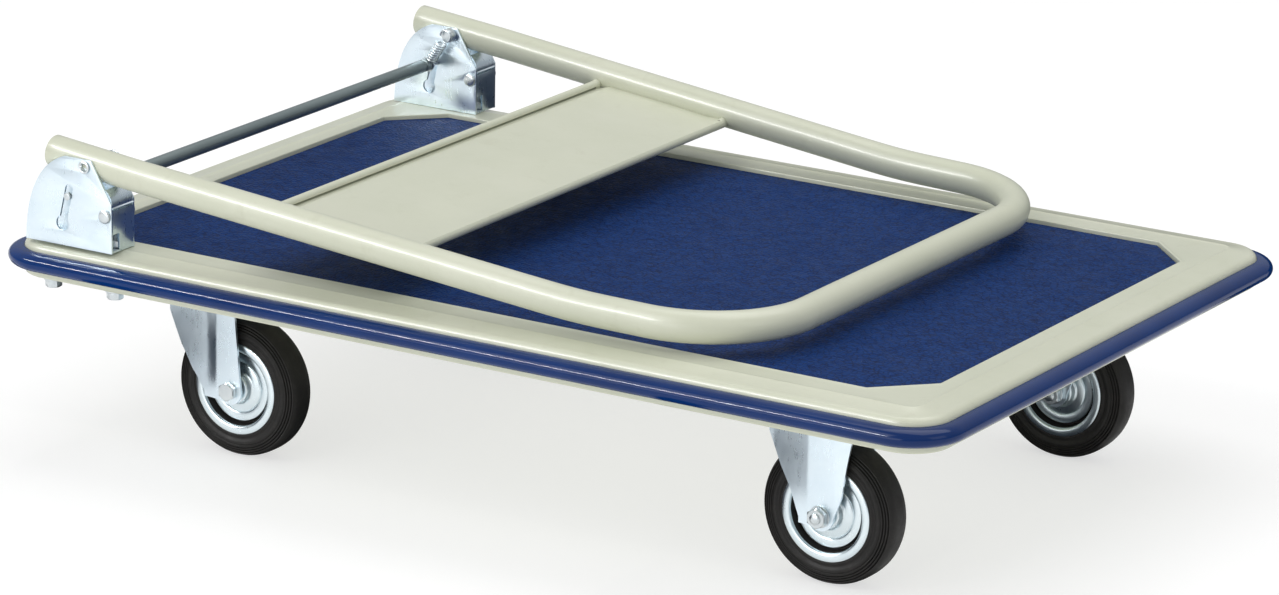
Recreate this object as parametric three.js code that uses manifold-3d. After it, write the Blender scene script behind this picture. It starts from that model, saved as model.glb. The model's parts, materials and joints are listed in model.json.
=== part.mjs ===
// Folding platform cart: pressed steel deck on two fixed and two swivel casters, with a
// tubular push handle that folds down over the deck and a foot-operated release bar.
// Millimetres, +Z up. The origin is on the floor under the middle of the deck, the handle
// is hinged at the -X end, and +Y is the left side for a person who pushes towards +X.
import * as THREE from 'three';
import { mergeVertices } from 'three/addons/utils/BufferGeometryUtils.js';
import Module from 'manifold-3d';

const wasm = await Module();
wasm.setup();

// ---- driving dimensions ------------------------------------------------------------
const GAP = 0.3;
const WELD = 1;
const CLEAR = 60;

const DECK_LENGTH = 914;
const DECK_WIDTH = 610;
const DECK_CORNER = 36;
const DECK_TOP = 191;
const DECK_SHEET = 1.6;
const DECK_ROLL = 10;
const SKIRT_BOTTOM = 159;
const RETURN_FLANGE = 6;

const MAT_LENGTH = 829;
const MAT_WIDTH = 509;
const MAT_CHAMFER = 42.4;
const MAT_TOP = 188;
const MAT_THICKNESS = 1.7;
const MAT_MARGIN = 1;

const BUMPER_PROUD = 14.5;
const BUMPER_TOP = 182.2;
const BUMPER_BOTTOM = 166;

const RAIL_INNER = 268;
const RAIL_OUTER = 295;
const RAIL_REAR = -438;
const RAIL_FRONT = 405;
const RAIL_BOTTOM = 155;
const CHASSIS_BOTTOM = 157.5;
const CHASSIS_SHEET = 2;
const CHANNEL_WIDTH = 96;

const BRACKET_Y = 283;
const EAR_GAP = 28.8;
const EAR_SHEET = 2.2;
const EAR_INSIDE = EAR_GAP / 2;
const EAR_OUTSIDE = EAR_INSIDE + EAR_SHEET;
const PIVOT_X = -377.5;
const PIVOT_Z = 264.6;
const EAR_FRONT = 28.5;
const EAR_FRONT_TOP = -30;
const EAR_BACK = -63.7;
const EAR_CREST = 6.8;
const BRACKET_FOOT = DECK_TOP + GAP;
const EAR_FOOT = BRACKET_FOOT - PIVOT_Z;
const SLOT_TOP = { x: -16.5, z: -22, r: 4 };
const SLOT_END = { x: -24, z: -53.6, r: 6.6 };
const BOLT_OFFSETS = { front: 19.3, rear: -47 };
const BOLT_RADIUS = 4;
const BOLT_TIP = 206.5;
const BOLT_HEAD = 6.5;
const BOLT_FLANGE = { radius: 8.5, sheet: 1.6 };
const BRACKET_HEX = 13;
const STOP = { x: 21.8, z: -40.5, r: 4.2, shank: 3.5, head: 6.4 };
const LIP_SPRING = -33;
const LIP_END = { x: 20.6, z: -16.8 };
const SLIT_FOOT = -35.2;
const NOTCH = { y0: -EAR_INSIDE, y1: -4.5, height: 12 };

const TUBE_RADIUS = 14;
const TUBE_BORE = 12.4;
const TUBE_SIDES = 12;
const STUB_LENGTH = 44.6;
const FOLD_SLOPE = 5.8;
const GRIP_SLOPE = 1.3;
const KINK_REACH = 483.6;
const GRIP_REACH = 640.4;
const GRIP_BEND = 98;
const GRIP_HALF_WIDTH = 265.2;
const PARALLEL_REACH = 40;
const PANEL_START = 164.5;
const PANEL_END = 304;
const PANEL_BEAD = 4;
const PANEL_SHEET = 1.6;
const PANEL_LIFT = -6;

const PIN_DROP = 7;
const SLOT_LENGTH = Math.hypot(SLOT_END.x - SLOT_TOP.x, SLOT_END.z - SLOT_TOP.z);
const PIN_X = SLOT_TOP.x + (PIN_DROP / SLOT_LENGTH) * (SLOT_END.x - SLOT_TOP.x);
const PIN_Z = SLOT_TOP.z + (PIN_DROP / SLOT_LENGTH) * (SLOT_END.z - SLOT_TOP.z);
const BAR_RADIUS = 6;
const BAR_SHOULDER = 254.5;
const NECK_RADIUS = 3.7;
const SPRING_Y = 261;
const SPRING_RADIUS = 4.6;
const PIVOT_HEAD = 6.5;

const WHEEL_RADIUS = 62.5;
const TYRE_HALF_WIDTH = 16;
const RIM_RADIUS = 41;
const TRACK = 202;
const FIXED_X = 315.3;
const SWIVEL_WHEEL_X = -278.5;
const TRAIL = 36;
const SWIVEL_X = SWIVEL_WHEEL_X - TRAIL;
const FIXED_PLATE_SHIFT = -13.5;
const LEG_INSIDE = 19;
const LEG_SHEET = 2.5;
const RIB_RISE = 3;
const RIB_WALL = 3;
const LEG_OUTSIDE = LEG_INSIDE + RIB_RISE + LEG_SHEET;
const LEG_FOOT = 12.5;
const PLATE_TOP = CHASSIS_BOTTOM - GAP;
const PLATE_SHEET = 3;
const PLATE_LENGTH = 105;
const PLATE_WIDTH = 85;
const CROWN_RADIUS = 34;
const CROWN_BOTTOM = 137;
const CROWN_TOP = 146.5;
const KINGPIN_RADIUS = 6;
const AXLE_RADIUS = 5;
const AXLE_HEX = 17;
const RIM_SHEET = 2;
const FIXED_BOLT_TAIL = 38;
const SWIVEL_BOLT_TAIL = 36;
const WHEEL_SEGMENTS = 24;
const HALF_FACET = Math.PI / WHEEL_SEGMENTS;

const LEFT = 1;
const RIGHT = -1;
const SIDES = [['left', LEFT], ['right', RIGHT]];

// ---- materials ---------------------------------------------------------------------
const finish = (color, roughness, metalness) => ({ color, roughness, metalness });
const BEIGE_PAINT = finish(0xd3d5c0, 0.35, 0.0);
const BLUE_VINYL = finish(0x1f3569, 0.6, 0.0);
const BLUE_BUMPER = finish(0x1d3a7c, 0.3, 0.0);
const ZINC = finish(0xc9d6dc, 0.25, 1.0);
const DARK_PAINT = finish(0x4a5654, 0.4, 0.3);
const BLACK_RUBBER = finish(0x26221f, 0.75, 0.0);
const BEARING_STEEL = finish(0x9aa2a6, 0.3, 1.0);

// An empty group at a place inside its parent.
function addGroup(parent, x, y, z) {
  const group = new THREE.Group();
  group.position.set(x, y, z);
  parent.add(group);
  return group;
}

// A named piece at a place inside its parent.
function addPiece(parent, name, geometry, look, x = 0, y = 0, z = 0) {
  const material = new THREE.MeshStandardMaterial(look);
  const mesh = new THREE.Mesh(geometry, material);
  mesh.name = name;
  mesh.position.set(x, y, z);
  parent.add(mesh);
  return mesh;
}

// ---- solids ------------------------------------------------------------------------
// Closed mesh to a manifold solid: shared corners merged, collapsed triangles dropped.
function solidOf(geometry) {
  const bare = geometry.clone();
  bare.deleteAttribute('normal');
  bare.deleteAttribute('uv');
  const merged = mergeVertices(bare, 1e-4);
  const index = merged.index.array;
  const kept = [];
  for (let i = 0; i < index.length; i += 3) {
    const [a, b, c] = [index[i], index[i + 1], index[i + 2]];
    if (a !== b && b !== c && c !== a) kept.push(a, b, c);
  }
  const vertProperties = merged.attributes.position.array;
  const triVerts = new Uint32Array(kept);
  return new wasm.Manifold(new wasm.Mesh({ numProp: 3, vertProperties, triVerts }));
}

function geometryOf(solid) {
  const mesh = solid.getMesh();
  const geometry = new THREE.BufferGeometry();
  geometry.setAttribute('position', new THREE.BufferAttribute(mesh.vertProperties, 3));
  geometry.setIndex(new THREE.BufferAttribute(mesh.triVerts, 1));
  geometry.computeVertexNormals();
  return geometry;
}

function joined(geometries) {
  return geometries.map(solidOf).reduce((whole, next) => whole.add(next));
}

function cutBy(solid, geometries) {
  return geometries.map(solidOf).reduce((whole, next) => whole.subtract(next), solid);
}

// ---- basic shapes ------------------------------------------------------------------
function polygon(points) {
  return new THREE.Shape(points.map(([a, b]) => new THREE.Vector2(a, b)));
}

function roundedRectangle(length, width, radius) {
  const [x, y] = [length / 2 - radius, width / 2 - radius];
  const shape = new THREE.Shape();
  shape.absarc(x, y, radius, 0, Math.PI / 2, false);
  shape.absarc(-x, y, radius, Math.PI / 2, Math.PI, false);
  shape.absarc(-x, -y, radius, Math.PI, 1.5 * Math.PI, false);
  shape.absarc(x, -y, radius, 1.5 * Math.PI, 2 * Math.PI, false);
  shape.closePath();
  return shape;
}

function hexagon(acrossFlats, turn = 0) {
  const radius = acrossFlats / Math.sqrt(3);
  const corners = [];
  for (let k = 0; k < 6; k += 1) {
    const angle = turn + (k * Math.PI) / 3;
    corners.push([radius * Math.cos(angle), radius * Math.sin(angle)]);
  }
  return polygon(corners);
}

function withRoundHole(shape, radius) {
  shape.holes.push(new THREE.Path().absarc(0, 0, radius, 0, 2 * Math.PI, true));
  return shape;
}

// Plan outline (x, y) raised from z0 to z1.
function standing(shape, z0, z1, curveSegments = 6) {
  const geometry = new THREE.ExtrudeGeometry(shape, { depth: z1 - z0, bevelEnabled: false, curveSegments });
  return geometry.translate(0, 0, z0);
}

// Side outline (x, z) spanning y0 to y1.
function spanning(shape, y0, y1, curveSegments = 6) {
  const geometry = new THREE.ExtrudeGeometry(shape, { depth: y1 - y0, bevelEnabled: false, curveSegments });
  return geometry.rotateX(Math.PI / 2).translate(0, y1, 0);
}

// End outline (y, z) running from x0 to x1.
function running(shape, x0, x1) {
  const geometry = new THREE.ExtrudeGeometry(shape, { depth: x1 - x0, bevelEnabled: false });
  return geometry.rotateX(Math.PI / 2).rotateZ(Math.PI / 2).translate(x0, 0, 0);
}

function block(x0, x1, y0, y1, z0, z1) {
  const geometry = new THREE.BoxGeometry(x1 - x0, y1 - y0, z1 - z0);
  return geometry.translate((x0 + x1) / 2, (y0 + y1) / 2, (z0 + z1) / 2);
}

// Profile points are [radius, distance along the axis].
function turnedAboutY(profile, segments = 16, start = 0) {
  const points = profile.map(([r, y]) => new THREE.Vector2(r, y));
  return new THREE.LatheGeometry(points, segments, start, 2 * Math.PI);
}

function turnedAboutZ(profile, segments = 16) {
  return turnedAboutY(profile, segments).rotateX(Math.PI / 2);
}

function rodAlongY(radius, y0, y1, segments = 16) {
  return turnedAboutY([[0, y0], [radius, y0], [radius, y1], [0, y1]], segments);
}

function rodAlongZ(radius, z0, z1, segments = 16) {
  return turnedAboutZ([[0, z0], [radius, z0], [radius, z1], [0, z1]], segments);
}

function ringProfile(inner, outer, a, b) {
  return [[inner, a], [outer, a], [outer, b], [inner, b], [inner, a]];
}

// ---- deck --------------------------------------------------------------------------
// Solid slab with a rolled upper edge: `inset` is the distance inside the deck's skin.
function deckSlab(inset, top) {
  const roll = DECK_ROLL - inset;
  const shape = roundedRectangle(
    DECK_LENGTH - 2 * DECK_ROLL,
    DECK_WIDTH - 2 * DECK_ROLL,
    DECK_CORNER - DECK_ROLL,
  );
  const depth = DECK_TOP - SKIRT_BOTTOM + 2 * DECK_ROLL;
  const geometry = new THREE.ExtrudeGeometry(shape, {
    depth,
    bevelSize: roll,
    bevelThickness: roll,
    bevelSegments: 3,
    curveSegments: 5,
  });
  return geometry.translate(0, 0, top - roll - depth);
}

function matOutline(grow) {
  const [x, y] = [MAT_LENGTH / 2 + grow, MAT_WIDTH / 2 + grow];
  const c = MAT_CHAMFER + grow * (2 - Math.SQRT2);
  return polygon([
    [x - c, -y], [x, -y + c], [x, y - c], [x - c, y],
    [c - x, y], [-x, y - c], [-x, c - y], [c - x, -y],
  ]);
}

function boltHoles(radius, z0, z1) {
  const holes = [];
  for (const [, side] of SIDES) {
    for (const offset of Object.values(BOLT_OFFSETS)) {
      holes.push(rodAlongZ(radius, z0, z1, 12).translate(PIVOT_X + offset, side * BRACKET_Y, 0));
    }
  }
  return holes;
}

// Plan of the open underside, between the returned edges of the skirt.
function deckOpening(clear) {
  const inset = RETURN_FLANGE + clear;
  return roundedRectangle(DECK_LENGTH - 2 * inset, DECK_WIDTH - 2 * inset, DECK_CORNER - inset);
}

function deckPan() {
  const recessFloor = MAT_TOP - MAT_THICKNESS - GAP;
  const outside = solidOf(deckSlab(0, DECK_TOP));
  const recess = standing(matOutline(MAT_MARGIN), recessFloor, DECK_TOP + 5);
  const recessTray = standing(matOutline(MAT_MARGIN + DECK_SHEET), recessFloor - DECK_SHEET, DECK_TOP);
  const inside = solidOf(deckSlab(DECK_SHEET, DECK_TOP - DECK_SHEET));
  const floorZ = SKIRT_BOTTOM + DECK_SHEET;
  const upperRoom = standing(roundedRectangle(DECK_LENGTH, DECK_WIDTH, DECK_CORNER), floorZ, DECK_TOP);
  const opening = solidOf(standing(deckOpening(0), SKIRT_BOTTOM - 5, floorZ + 1));
  const hollow = inside.intersect(solidOf(upperRoom)).add(opening);
  const below = block(-DECK_LENGTH, DECK_LENGTH, -DECK_WIDTH, DECK_WIDTH, 0, SKIRT_BOTTOM);
  const shell = cutBy(outside, [below]).subtract(hollow.subtract(solidOf(recessTray)));
  return geometryOf(cutBy(shell, [recess, ...boltHoles(BOLT_RADIUS + GAP, DECK_TOP - 10, DECK_TOP + 5)]));
}

function bumperStrip() {
  const clear = 2 * GAP;
  const middle = (BUMPER_TOP + BUMPER_BOTTOM) / 2;
  const seat = roundedRectangle(DECK_LENGTH + clear, DECK_WIDTH + clear, DECK_CORNER + GAP);
  const flat = 2;
  const half = (BUMPER_TOP - BUMPER_BOTTOM - flat) / 2;
  const full = new THREE.ExtrudeGeometry(seat, {
    depth: flat,
    bevelSize: BUMPER_PROUD - GAP,
    bevelThickness: half,
    bevelSegments: 3,
    curveSegments: 5,
  });
  full.translate(0, 0, middle - flat / 2);
  return geometryOf(cutBy(solidOf(full), [standing(seat, BUMPER_BOTTOM - 5, BUMPER_TOP + 5)]));
}

// U-shaped channel section, open side up; a and b are its two outer walls.
function channelSection(a, b, bottom, top) {
  const t = CHASSIS_SHEET;
  return polygon([
    [a, bottom], [b, bottom], [b, top], [b - t, top],
    [b - t, bottom + t], [a + t, bottom + t], [a + t, top], [a, top],
  ]);
}

function sideRail(side) {
  const top = DECK_TOP - DECK_SHEET - 2 * GAP;
  const [low, high] = side === LEFT ? [RAIL_INNER, RAIL_OUTER] : [-RAIL_OUTER, -RAIL_INNER];
  const section = channelSection(low, high, RAIL_BOTTOM, top);
  const bar = solidOf(running(section, RAIL_REAR, RAIL_FRONT));
  const rail = bar.intersect(solidOf(standing(deckOpening(CHASSIS_SHEET), RAIL_BOTTOM - 5, DECK_TOP)));
  return geometryOf(cutBy(rail, boltHoles(BOLT_RADIUS + GAP, RAIL_BOTTOM - 5, RAIL_BOTTOM + 10)));
}

function casterChannel() {
  const half = CHANNEL_WIDTH / 2;
  const top = MAT_TOP - MAT_THICKNESS - DECK_SHEET - 2 * GAP;
  const reach = RAIL_INNER - GAP;
  return spanning(channelSection(-half, half, CHASSIS_BOTTOM, top), -reach, reach);
}

// ---- hinge brackets ----------------------------------------------------------------
function earOutline() {
  const shape = new THREE.Shape();
  shape.moveTo(EAR_BACK, EAR_FOOT);
  shape.lineTo(EAR_FRONT, EAR_FOOT);
  shape.lineTo(EAR_FRONT, EAR_FRONT_TOP);
  shape.lineTo(6.5, EAR_CREST);
  shape.lineTo(-21.6, EAR_CREST);
  shape.quadraticCurveTo(-62, -8, EAR_BACK, EAR_FOOT);
  return shape;
}

// Keyhole slot that guides the release pin: two round ends joined by straight sides.
function keyhole() {
  const shape = new THREE.Shape();
  const lean = Math.atan2(SLOT_TOP.x - SLOT_END.x, SLOT_TOP.z - SLOT_END.z);
  const neck = Math.asin(SLOT_TOP.r / SLOT_END.r);
  const up = Math.PI / 2 - lean;
  shape.absarc(SLOT_TOP.x, SLOT_TOP.z, SLOT_TOP.r, up - Math.PI / 2, up + Math.PI / 2, false);
  shape.absarc(SLOT_END.x, SLOT_END.z, SLOT_END.r, up + neck, up - neck + 2 * Math.PI, false);
  shape.closePath();
  return shape;
}

// Front lip: rises vertically from the slit, then leans back under the folded tube.
function lipOutline() {
  const shape = new THREE.Shape();
  const t = EAR_SHEET;
  shape.moveTo(EAR_FRONT, LIP_SPRING);
  shape.quadraticCurveTo(EAR_FRONT, -24.5, LIP_END.x, LIP_END.z);
  shape.lineTo(LIP_END.x - t, LIP_END.z - t / 2);
  shape.quadraticCurveTo(EAR_FRONT - t, -25.5, EAR_FRONT - t, LIP_SPRING);
  return shape;
}

// Folded from one sheet, about the hinge axis: two ears, a foot, a front web and the lip.
function hingeBracket() {
  const foot = EAR_FOOT;
  const webBack = EAR_FRONT - EAR_SHEET;
  const notchFoot = foot + EAR_SHEET;
  const plates = [
    spanning(earOutline(), EAR_INSIDE, EAR_OUTSIDE),
    spanning(earOutline(), -EAR_OUTSIDE, -EAR_INSIDE),
    block(EAR_BACK, EAR_FRONT, -EAR_OUTSIDE, EAR_OUTSIDE, foot, foot + EAR_SHEET),
    block(webBack, EAR_FRONT, -EAR_OUTSIDE, EAR_OUTSIDE, foot, SLIT_FOOT),
    spanning(lipOutline(), -EAR_INSIDE - WELD, EAR_INSIDE + WELD, 4),
  ];
  const cuts = [
    spanning(keyhole(), -CLEAR, CLEAR),
    rodAlongY(AXLE_RADIUS, -CLEAR, CLEAR, 12),
    rodAlongY(STOP.shank + GAP, -CLEAR, CLEAR, 12).translate(STOP.x, 0, STOP.z),
    block(webBack - 1, EAR_FRONT + 1, NOTCH.y0, NOTCH.y1, notchFoot, notchFoot + NOTCH.height),
  ];
  for (const offset of Object.values(BOLT_OFFSETS)) {
    cuts.push(rodAlongZ(BOLT_RADIUS + GAP, foot - 1, notchFoot + 1, 12).translate(offset, 0, 0));
  }
  return geometryOf(cutBy(joined(plates), cuts));
}

// The hinge pin: a rolled rivet end on its +Y side, a long round head on the other.
function pivotPin() {
  const shank = AXLE_RADIUS - GAP;
  const outer = EAR_OUTSIDE + GAP;
  const profile = [
    [0, -outer - 7], [PIVOT_HEAD - 1, -outer - 7], [PIVOT_HEAD, -outer - 6], [PIVOT_HEAD, -outer],
    [shank, -outer], [shank, outer], [5.2, outer], [4.6, outer + 1.4],
    [2.6, outer + 1.4], [2.6, outer - 4], [0, outer - 4],
  ];
  return turnedAboutY(profile);
}

// Riveted spacer that the foot of the upright handle tube rests against.
function stopRivet() {
  const { r, shank, head } = STOP;
  const outer = EAR_OUTSIDE + GAP;
  const inner = EAR_INSIDE - GAP;
  const dome = [[0, 2.6], [head * 0.6, 2.2], [head, 0]];
  const profile = [
    ...dome.map(([radius, rise]) => [radius, -outer - rise]),
    [shank, -outer], [shank, -inner], [r, -inner], [r, inner], [shank, inner], [shank, outer],
    ...dome.reverse().map(([radius, rise]) => [radius, outer + rise]),
  ];
  return turnedAboutY(profile, 14);
}

function bracketBolt() {
  const seat = RAIL_BOTTOM - GAP;
  const headTop = seat - BOLT_FLANGE.sheet;
  const flange = rodAlongZ(BOLT_FLANGE.radius, headTop, seat, 14);
  const head = standing(hexagon(BRACKET_HEX, Math.PI / 6), headTop - BOLT_HEAD, headTop + WELD);
  const shank = rodAlongZ(BOLT_RADIUS, seat - WELD, BOLT_TIP, 10);
  return geometryOf(joined([flange, head, shank]));
}

function bracketNut() {
  const seat = BRACKET_FOOT + EAR_SHEET + GAP;
  const nut = withRoundHole(hexagon(BRACKET_HEX, Math.PI / 6), BOLT_RADIUS + GAP);
  return standing(nut, seat, seat + BOLT_HEAD, 5);
}

// ---- handle ------------------------------------------------------------------------
const radians = THREE.MathUtils.degToRad;

// Distances along the folded handle are measured from its hinge axis.
const KINK_X = KINK_REACH * Math.cos(radians(FOLD_SLOPE));
const BEND_X = GRIP_REACH - GRIP_BEND;

// Height of the centre line from the hinge: a long slope, then a flatter grip end.
function handleHeight(x) {
  const slope = Math.tan(radians(FOLD_SLOPE));
  if (x < KINK_X) return -x * slope;
  return -KINK_X * slope - (x - KINK_X) * Math.tan(radians(GRIP_SLOPE));
}

// Half the distance between the handle's legs: parallel in the brackets, then closing in.
function handleHalfWidth(x) {
  const share = THREE.MathUtils.clamp((x - PARALLEL_REACH) / (BEND_X - PARALLEL_REACH), 0, 1);
  return BRACKET_Y + share * (GRIP_HALF_WIDTH - BRACKET_Y);
}

// Stations along one leg, from its free end to the middle of the grip bar.
function legStations(side) {
  const freeEnd = -STUB_LENGTH * Math.cos(radians(FOLD_SLOPE));
  const straight = [freeEnd, PARALLEL_REACH - 8, PARALLEL_REACH + 8, KINK_X - 10, KINK_X + 10];
  const plan = straight.map((x) => [x, handleHalfWidth(x)]);
  const bendSteps = 7;
  for (let k = 0; k <= bendSteps; k += 1) {
    const angle = (k / bendSteps) * (Math.PI / 2);
    const x = BEND_X + GRIP_BEND * Math.sin(angle);
    const y = GRIP_HALF_WIDTH - GRIP_BEND + GRIP_BEND * Math.cos(angle);
    plan.push([x, y]);
  }
  return plan.map(([x, y]) => new THREE.Vector3(x, side * y, handleHeight(x)));
}

// A path through fixed stations, one extrusion step for each stretch between them.
class StationPath extends THREE.Curve {
  constructor(stations) {
    super();
    this.stations = stations;
  }

  getPoint(t) {
    const last = this.stations.length - 1;
    const place = THREE.MathUtils.clamp(t * last, 0, last);
    const k = Math.min(Math.floor(place), last - 1);
    return this.stations[k].clone().lerp(this.stations[k + 1], place - k);
  }

  getPointAt(u) {
    return this.getPoint(u);
  }

  getTangentAt(u) {
    const last = this.stations.length - 1;
    const k = Math.round(u * last);
    const before = this.stations[Math.max(k - 1, 0)];
    const after = this.stations[Math.min(k + 1, last)];
    const here = this.stations[k];
    const into = k > 0 ? here.clone().sub(before).normalize() : after.clone().sub(here).normalize();
    const away = k < last ? after.clone().sub(here).normalize() : into;
    return into.clone().add(away).normalize();
  }
}

function tubeSection(outer, inner) {
  const round = (radius) => {
    const corners = [];
    for (let k = 0; k < TUBE_SIDES; k += 1) {
      const angle = ((k + 0.5) / TUBE_SIDES) * 2 * Math.PI;
      corners.push(new THREE.Vector2(radius * Math.cos(angle), radius * Math.sin(angle)));
    }
    return corners;
  };
  const shape = new THREE.Shape(round(outer));
  shape.holes.push(new THREE.Path(round(inner).reverse()));
  return shape;
}

function handleTube() {
  const stations = [...legStations(RIGHT), ...legStations(LEFT).reverse()];
  const path = new StationPath(stations);
  const section = tubeSection(TUBE_RADIUS, TUBE_BORE);
  const tube = new THREE.ExtrudeGeometry(section, { steps: stations.length - 1, extrudePath: path });
  const hingeHole = rodAlongY(AXLE_RADIUS + GAP, -2 * BRACKET_Y, 2 * BRACKET_Y, 12);
  return geometryOf(cutBy(solidOf(tube), [hingeHole]));
}

// Sheet between the legs with both long edges rolled into beads, in its own flat frame.
function handlePanel() {
  const half = PANEL_SHEET / 2;
  const bead = (u) => rodAlongY(PANEL_BEAD, -BRACKET_Y, BRACKET_Y, 10).translate(u, 0, PANEL_LIFT);
  const sheet = block(PANEL_START, PANEL_END, -BRACKET_Y, BRACKET_Y, PANEL_LIFT - half, PANEL_LIFT + half);
  const ends = [PANEL_START - 2 * PANEL_BEAD, PANEL_END + 2 * PANEL_BEAD];
  const [y0, y1] = ends.map((u) => handleHalfWidth(u * Math.cos(radians(FOLD_SLOPE))) - TUBE_RADIUS - GAP);
  const [u0, u1] = ends;
  const room = standing(polygon([[u0, -y0], [u1, -y1], [u1, y1], [u0, y0]]), -CLEAR, CLEAR);
  const panel = joined([sheet, bead(PANEL_START), bead(PANEL_END)]);
  return geometryOf(panel.intersect(solidOf(room)));
}

// ---- release bar -------------------------------------------------------------------
function releaseBar() {
  const end = BRACKET_Y - EAR_INSIDE - GAP;
  const profile = [
    [0, -end], [NECK_RADIUS, -end], [NECK_RADIUS, -BAR_SHOULDER], [BAR_RADIUS, -BAR_SHOULDER],
    [BAR_RADIUS, BAR_SHOULDER], [NECK_RADIUS, BAR_SHOULDER], [NECK_RADIUS, end], [0, end],
  ];
  return turnedAboutY(profile, 12);
}

function barWasher() {
  return turnedAboutY(ringProfile(NECK_RADIUS + GAP, 7, BAR_SHOULDER + GAP, BAR_SHOULDER + 1.6));
}

function pinStud() {
  const start = BRACKET_Y + EAR_INSIDE;
  const end = BRACKET_Y + EAR_OUTSIDE + 1.6;
  return turnedAboutY([[0, start], [3.3, start], [3.3, end - 0.6], [2.6, end], [0, end]], 12);
}

// Return spring, as the closed outer shape of its coils, hanging from the hinge pin.
function returnSpring() {
  const start = PIVOT_HEAD + 2 * GAP;
  const end = Math.hypot(PIN_X, PIN_Z) - NECK_RADIUS - 2 * GAP;
  return rodAlongZ(SPRING_RADIUS, -end, -start, 12);
}

// ---- wheels ------------------------------------------------------------------------
// The tread is drawn a facet's height oversize so that a flat facet meets the floor.
function tyre() {
  const w = TYRE_HALF_WIDTH;
  const r = WHEEL_RADIUS / Math.cos(HALF_FACET);
  const seat = RIM_RADIUS + GAP;
  const profile = [
    [seat, -w + 1], [r - 11, -w], [r - 4, -w + 3], [r, -w + 9],
    [r, w - 9], [r - 4, w - 3], [r - 11, w], [seat, w - 1], [seat, -w + 1],
  ];
  return turnedAboutY(profile, WHEEL_SEGMENTS, HALF_FACET);
}

// Two pressed dishes joined at the tyre seat, hollow between them and open at the bore.
function rim() {
  const face = TYRE_HALF_WIDTH - 1;
  const t = RIM_SHEET;
  const bore = AXLE_RADIUS + 3 + 2 * GAP;
  const outside = [
    [RIM_RADIUS, face], [34.5, face], [31.5, face - 6],
    [17, face - 5.5], [12, face + t], [bore, face + t],
  ];
  const inside = [
    [bore, face], [11, face], [15.9, face - 5.5 - t],
    [33, face - 6 - t], [36, face - t], [RIM_RADIUS - t, face - t],
  ];
  const half = [...outside, ...inside];
  const farHalf = half.slice().reverse().map(([r, y]) => [r, -y]);
  return turnedAboutY([...farHalf, ...half, farHalf[0]], WHEEL_SEGMENTS, HALF_FACET);
}

function axleSleeve() {
  const half = LEG_INSIDE - GAP;
  return turnedAboutY(ringProfile(AXLE_RADIUS + GAP, AXLE_RADIUS + 3, -half, half), 12);
}

// Axle bolt with its head at -Y; `tail` is how far the thread reaches on the +Y side.
function axleBolt(tail) {
  const seat = -LEG_OUTSIDE - GAP;
  const head = spanning(hexagon(AXLE_HEX, Math.PI / 6), seat - 6.4, seat);
  const profile = [[0, seat - 1], [AXLE_RADIUS, seat - 1], [AXLE_RADIUS, tail - 1], [4, tail], [0, tail]];
  const shank = turnedAboutY(profile, 12);
  return geometryOf(joined([head, shank]));
}

function axleNut() {
  const seat = LEG_OUTSIDE + GAP;
  return spanning(withRoundHole(hexagon(AXLE_HEX, Math.PI / 6), AXLE_RADIUS + GAP), seat, seat + 8);
}

// Side outline of a fork leg about the axle; `front` and `back` lists run downwards.
function legOutline(front, back) {
  const shape = new THREE.Shape();
  front.forEach(([x, z], k) => (k === 0 ? shape.moveTo(x, z) : shape.lineTo(x, z)));
  shape.absarc(0, 0, LEG_FOOT, 0, -0.75 * Math.PI, true);
  back.slice().reverse().forEach(([x, z]) => shape.lineTo(x, z));
  shape.closePath();
  return shape;
}

// Plan of a leg's sheet, with a rib pressed outwards between the stations a and b.
function legSection(a, b, reach) {
  const [y0, y1] = [LEG_INSIDE, LEG_INSIDE + RIB_RISE];
  const t = LEG_SHEET;
  const w = RIB_WALL;
  return polygon([
    [-reach, y0], [a - w, y0], [a, y1], [b, y1], [b + w, y0], [reach, y0],
    [reach, y0 + t], [b + w + 1, y0 + t], [b + 1, y1 + t],
    [a - 1, y1 + t], [a - w - 1, y0 + t], [-reach, y0 + t],
  ]);
}

function forkLegs(outline, ribStart, ribEnd) {
  const sheet = () => standing(legSection(ribStart, ribEnd, 2 * CLEAR), -CLEAR, 2 * CLEAR);
  const profile = solidOf(spanning(outline, -CLEAR, CLEAR, 8));
  const legs = [sheet(), sheet().rotateX(Math.PI)];
  legs[1].translate(0, 0, CLEAR);
  return legs.map((leg) => solidOf(leg).intersect(profile)).reduce((one, other) => one.add(other));
}

function axleHole() {
  return rodAlongY(AXLE_RADIUS + GAP, -CLEAR, CLEAR, 12);
}

// Swivel fork about the axle: its legs lean back to a round crown on the swivel axis.
function swivelFork() {
  const crownTop = CROWN_TOP - WHEEL_RADIUS;
  const crownBottom = CROWN_BOTTOM - WHEEL_RADIUS;
  const bridgeTop = crownBottom + LEG_SHEET;
  const [legBack, legFront] = [-65, 5.5];
  const back = [[legBack, bridgeTop], [legBack, 62], [-53, 33], [-41, 14], [-27, -1]];
  const outline = legOutline([[legFront, bridgeTop], [6, 66]], back);
  const pieces = joined([
    block(legBack, legFront, -LEG_OUTSIDE, LEG_OUTSIDE, crownBottom, bridgeTop),
    rodAlongZ(CROWN_RADIUS, crownBottom, crownTop, 20).translate(-TRAIL, 0, 0),
  ]);
  const kingHole = rodAlongZ(KINGPIN_RADIUS + GAP, 0, 2 * CLEAR, 12).translate(-TRAIL, 0, 0);
  const whole = pieces.add(forkLegs(outline, -15, 2 * LEG_FOOT));
  return geometryOf(cutBy(whole, [axleHole(), kingHole]));
}

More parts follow.
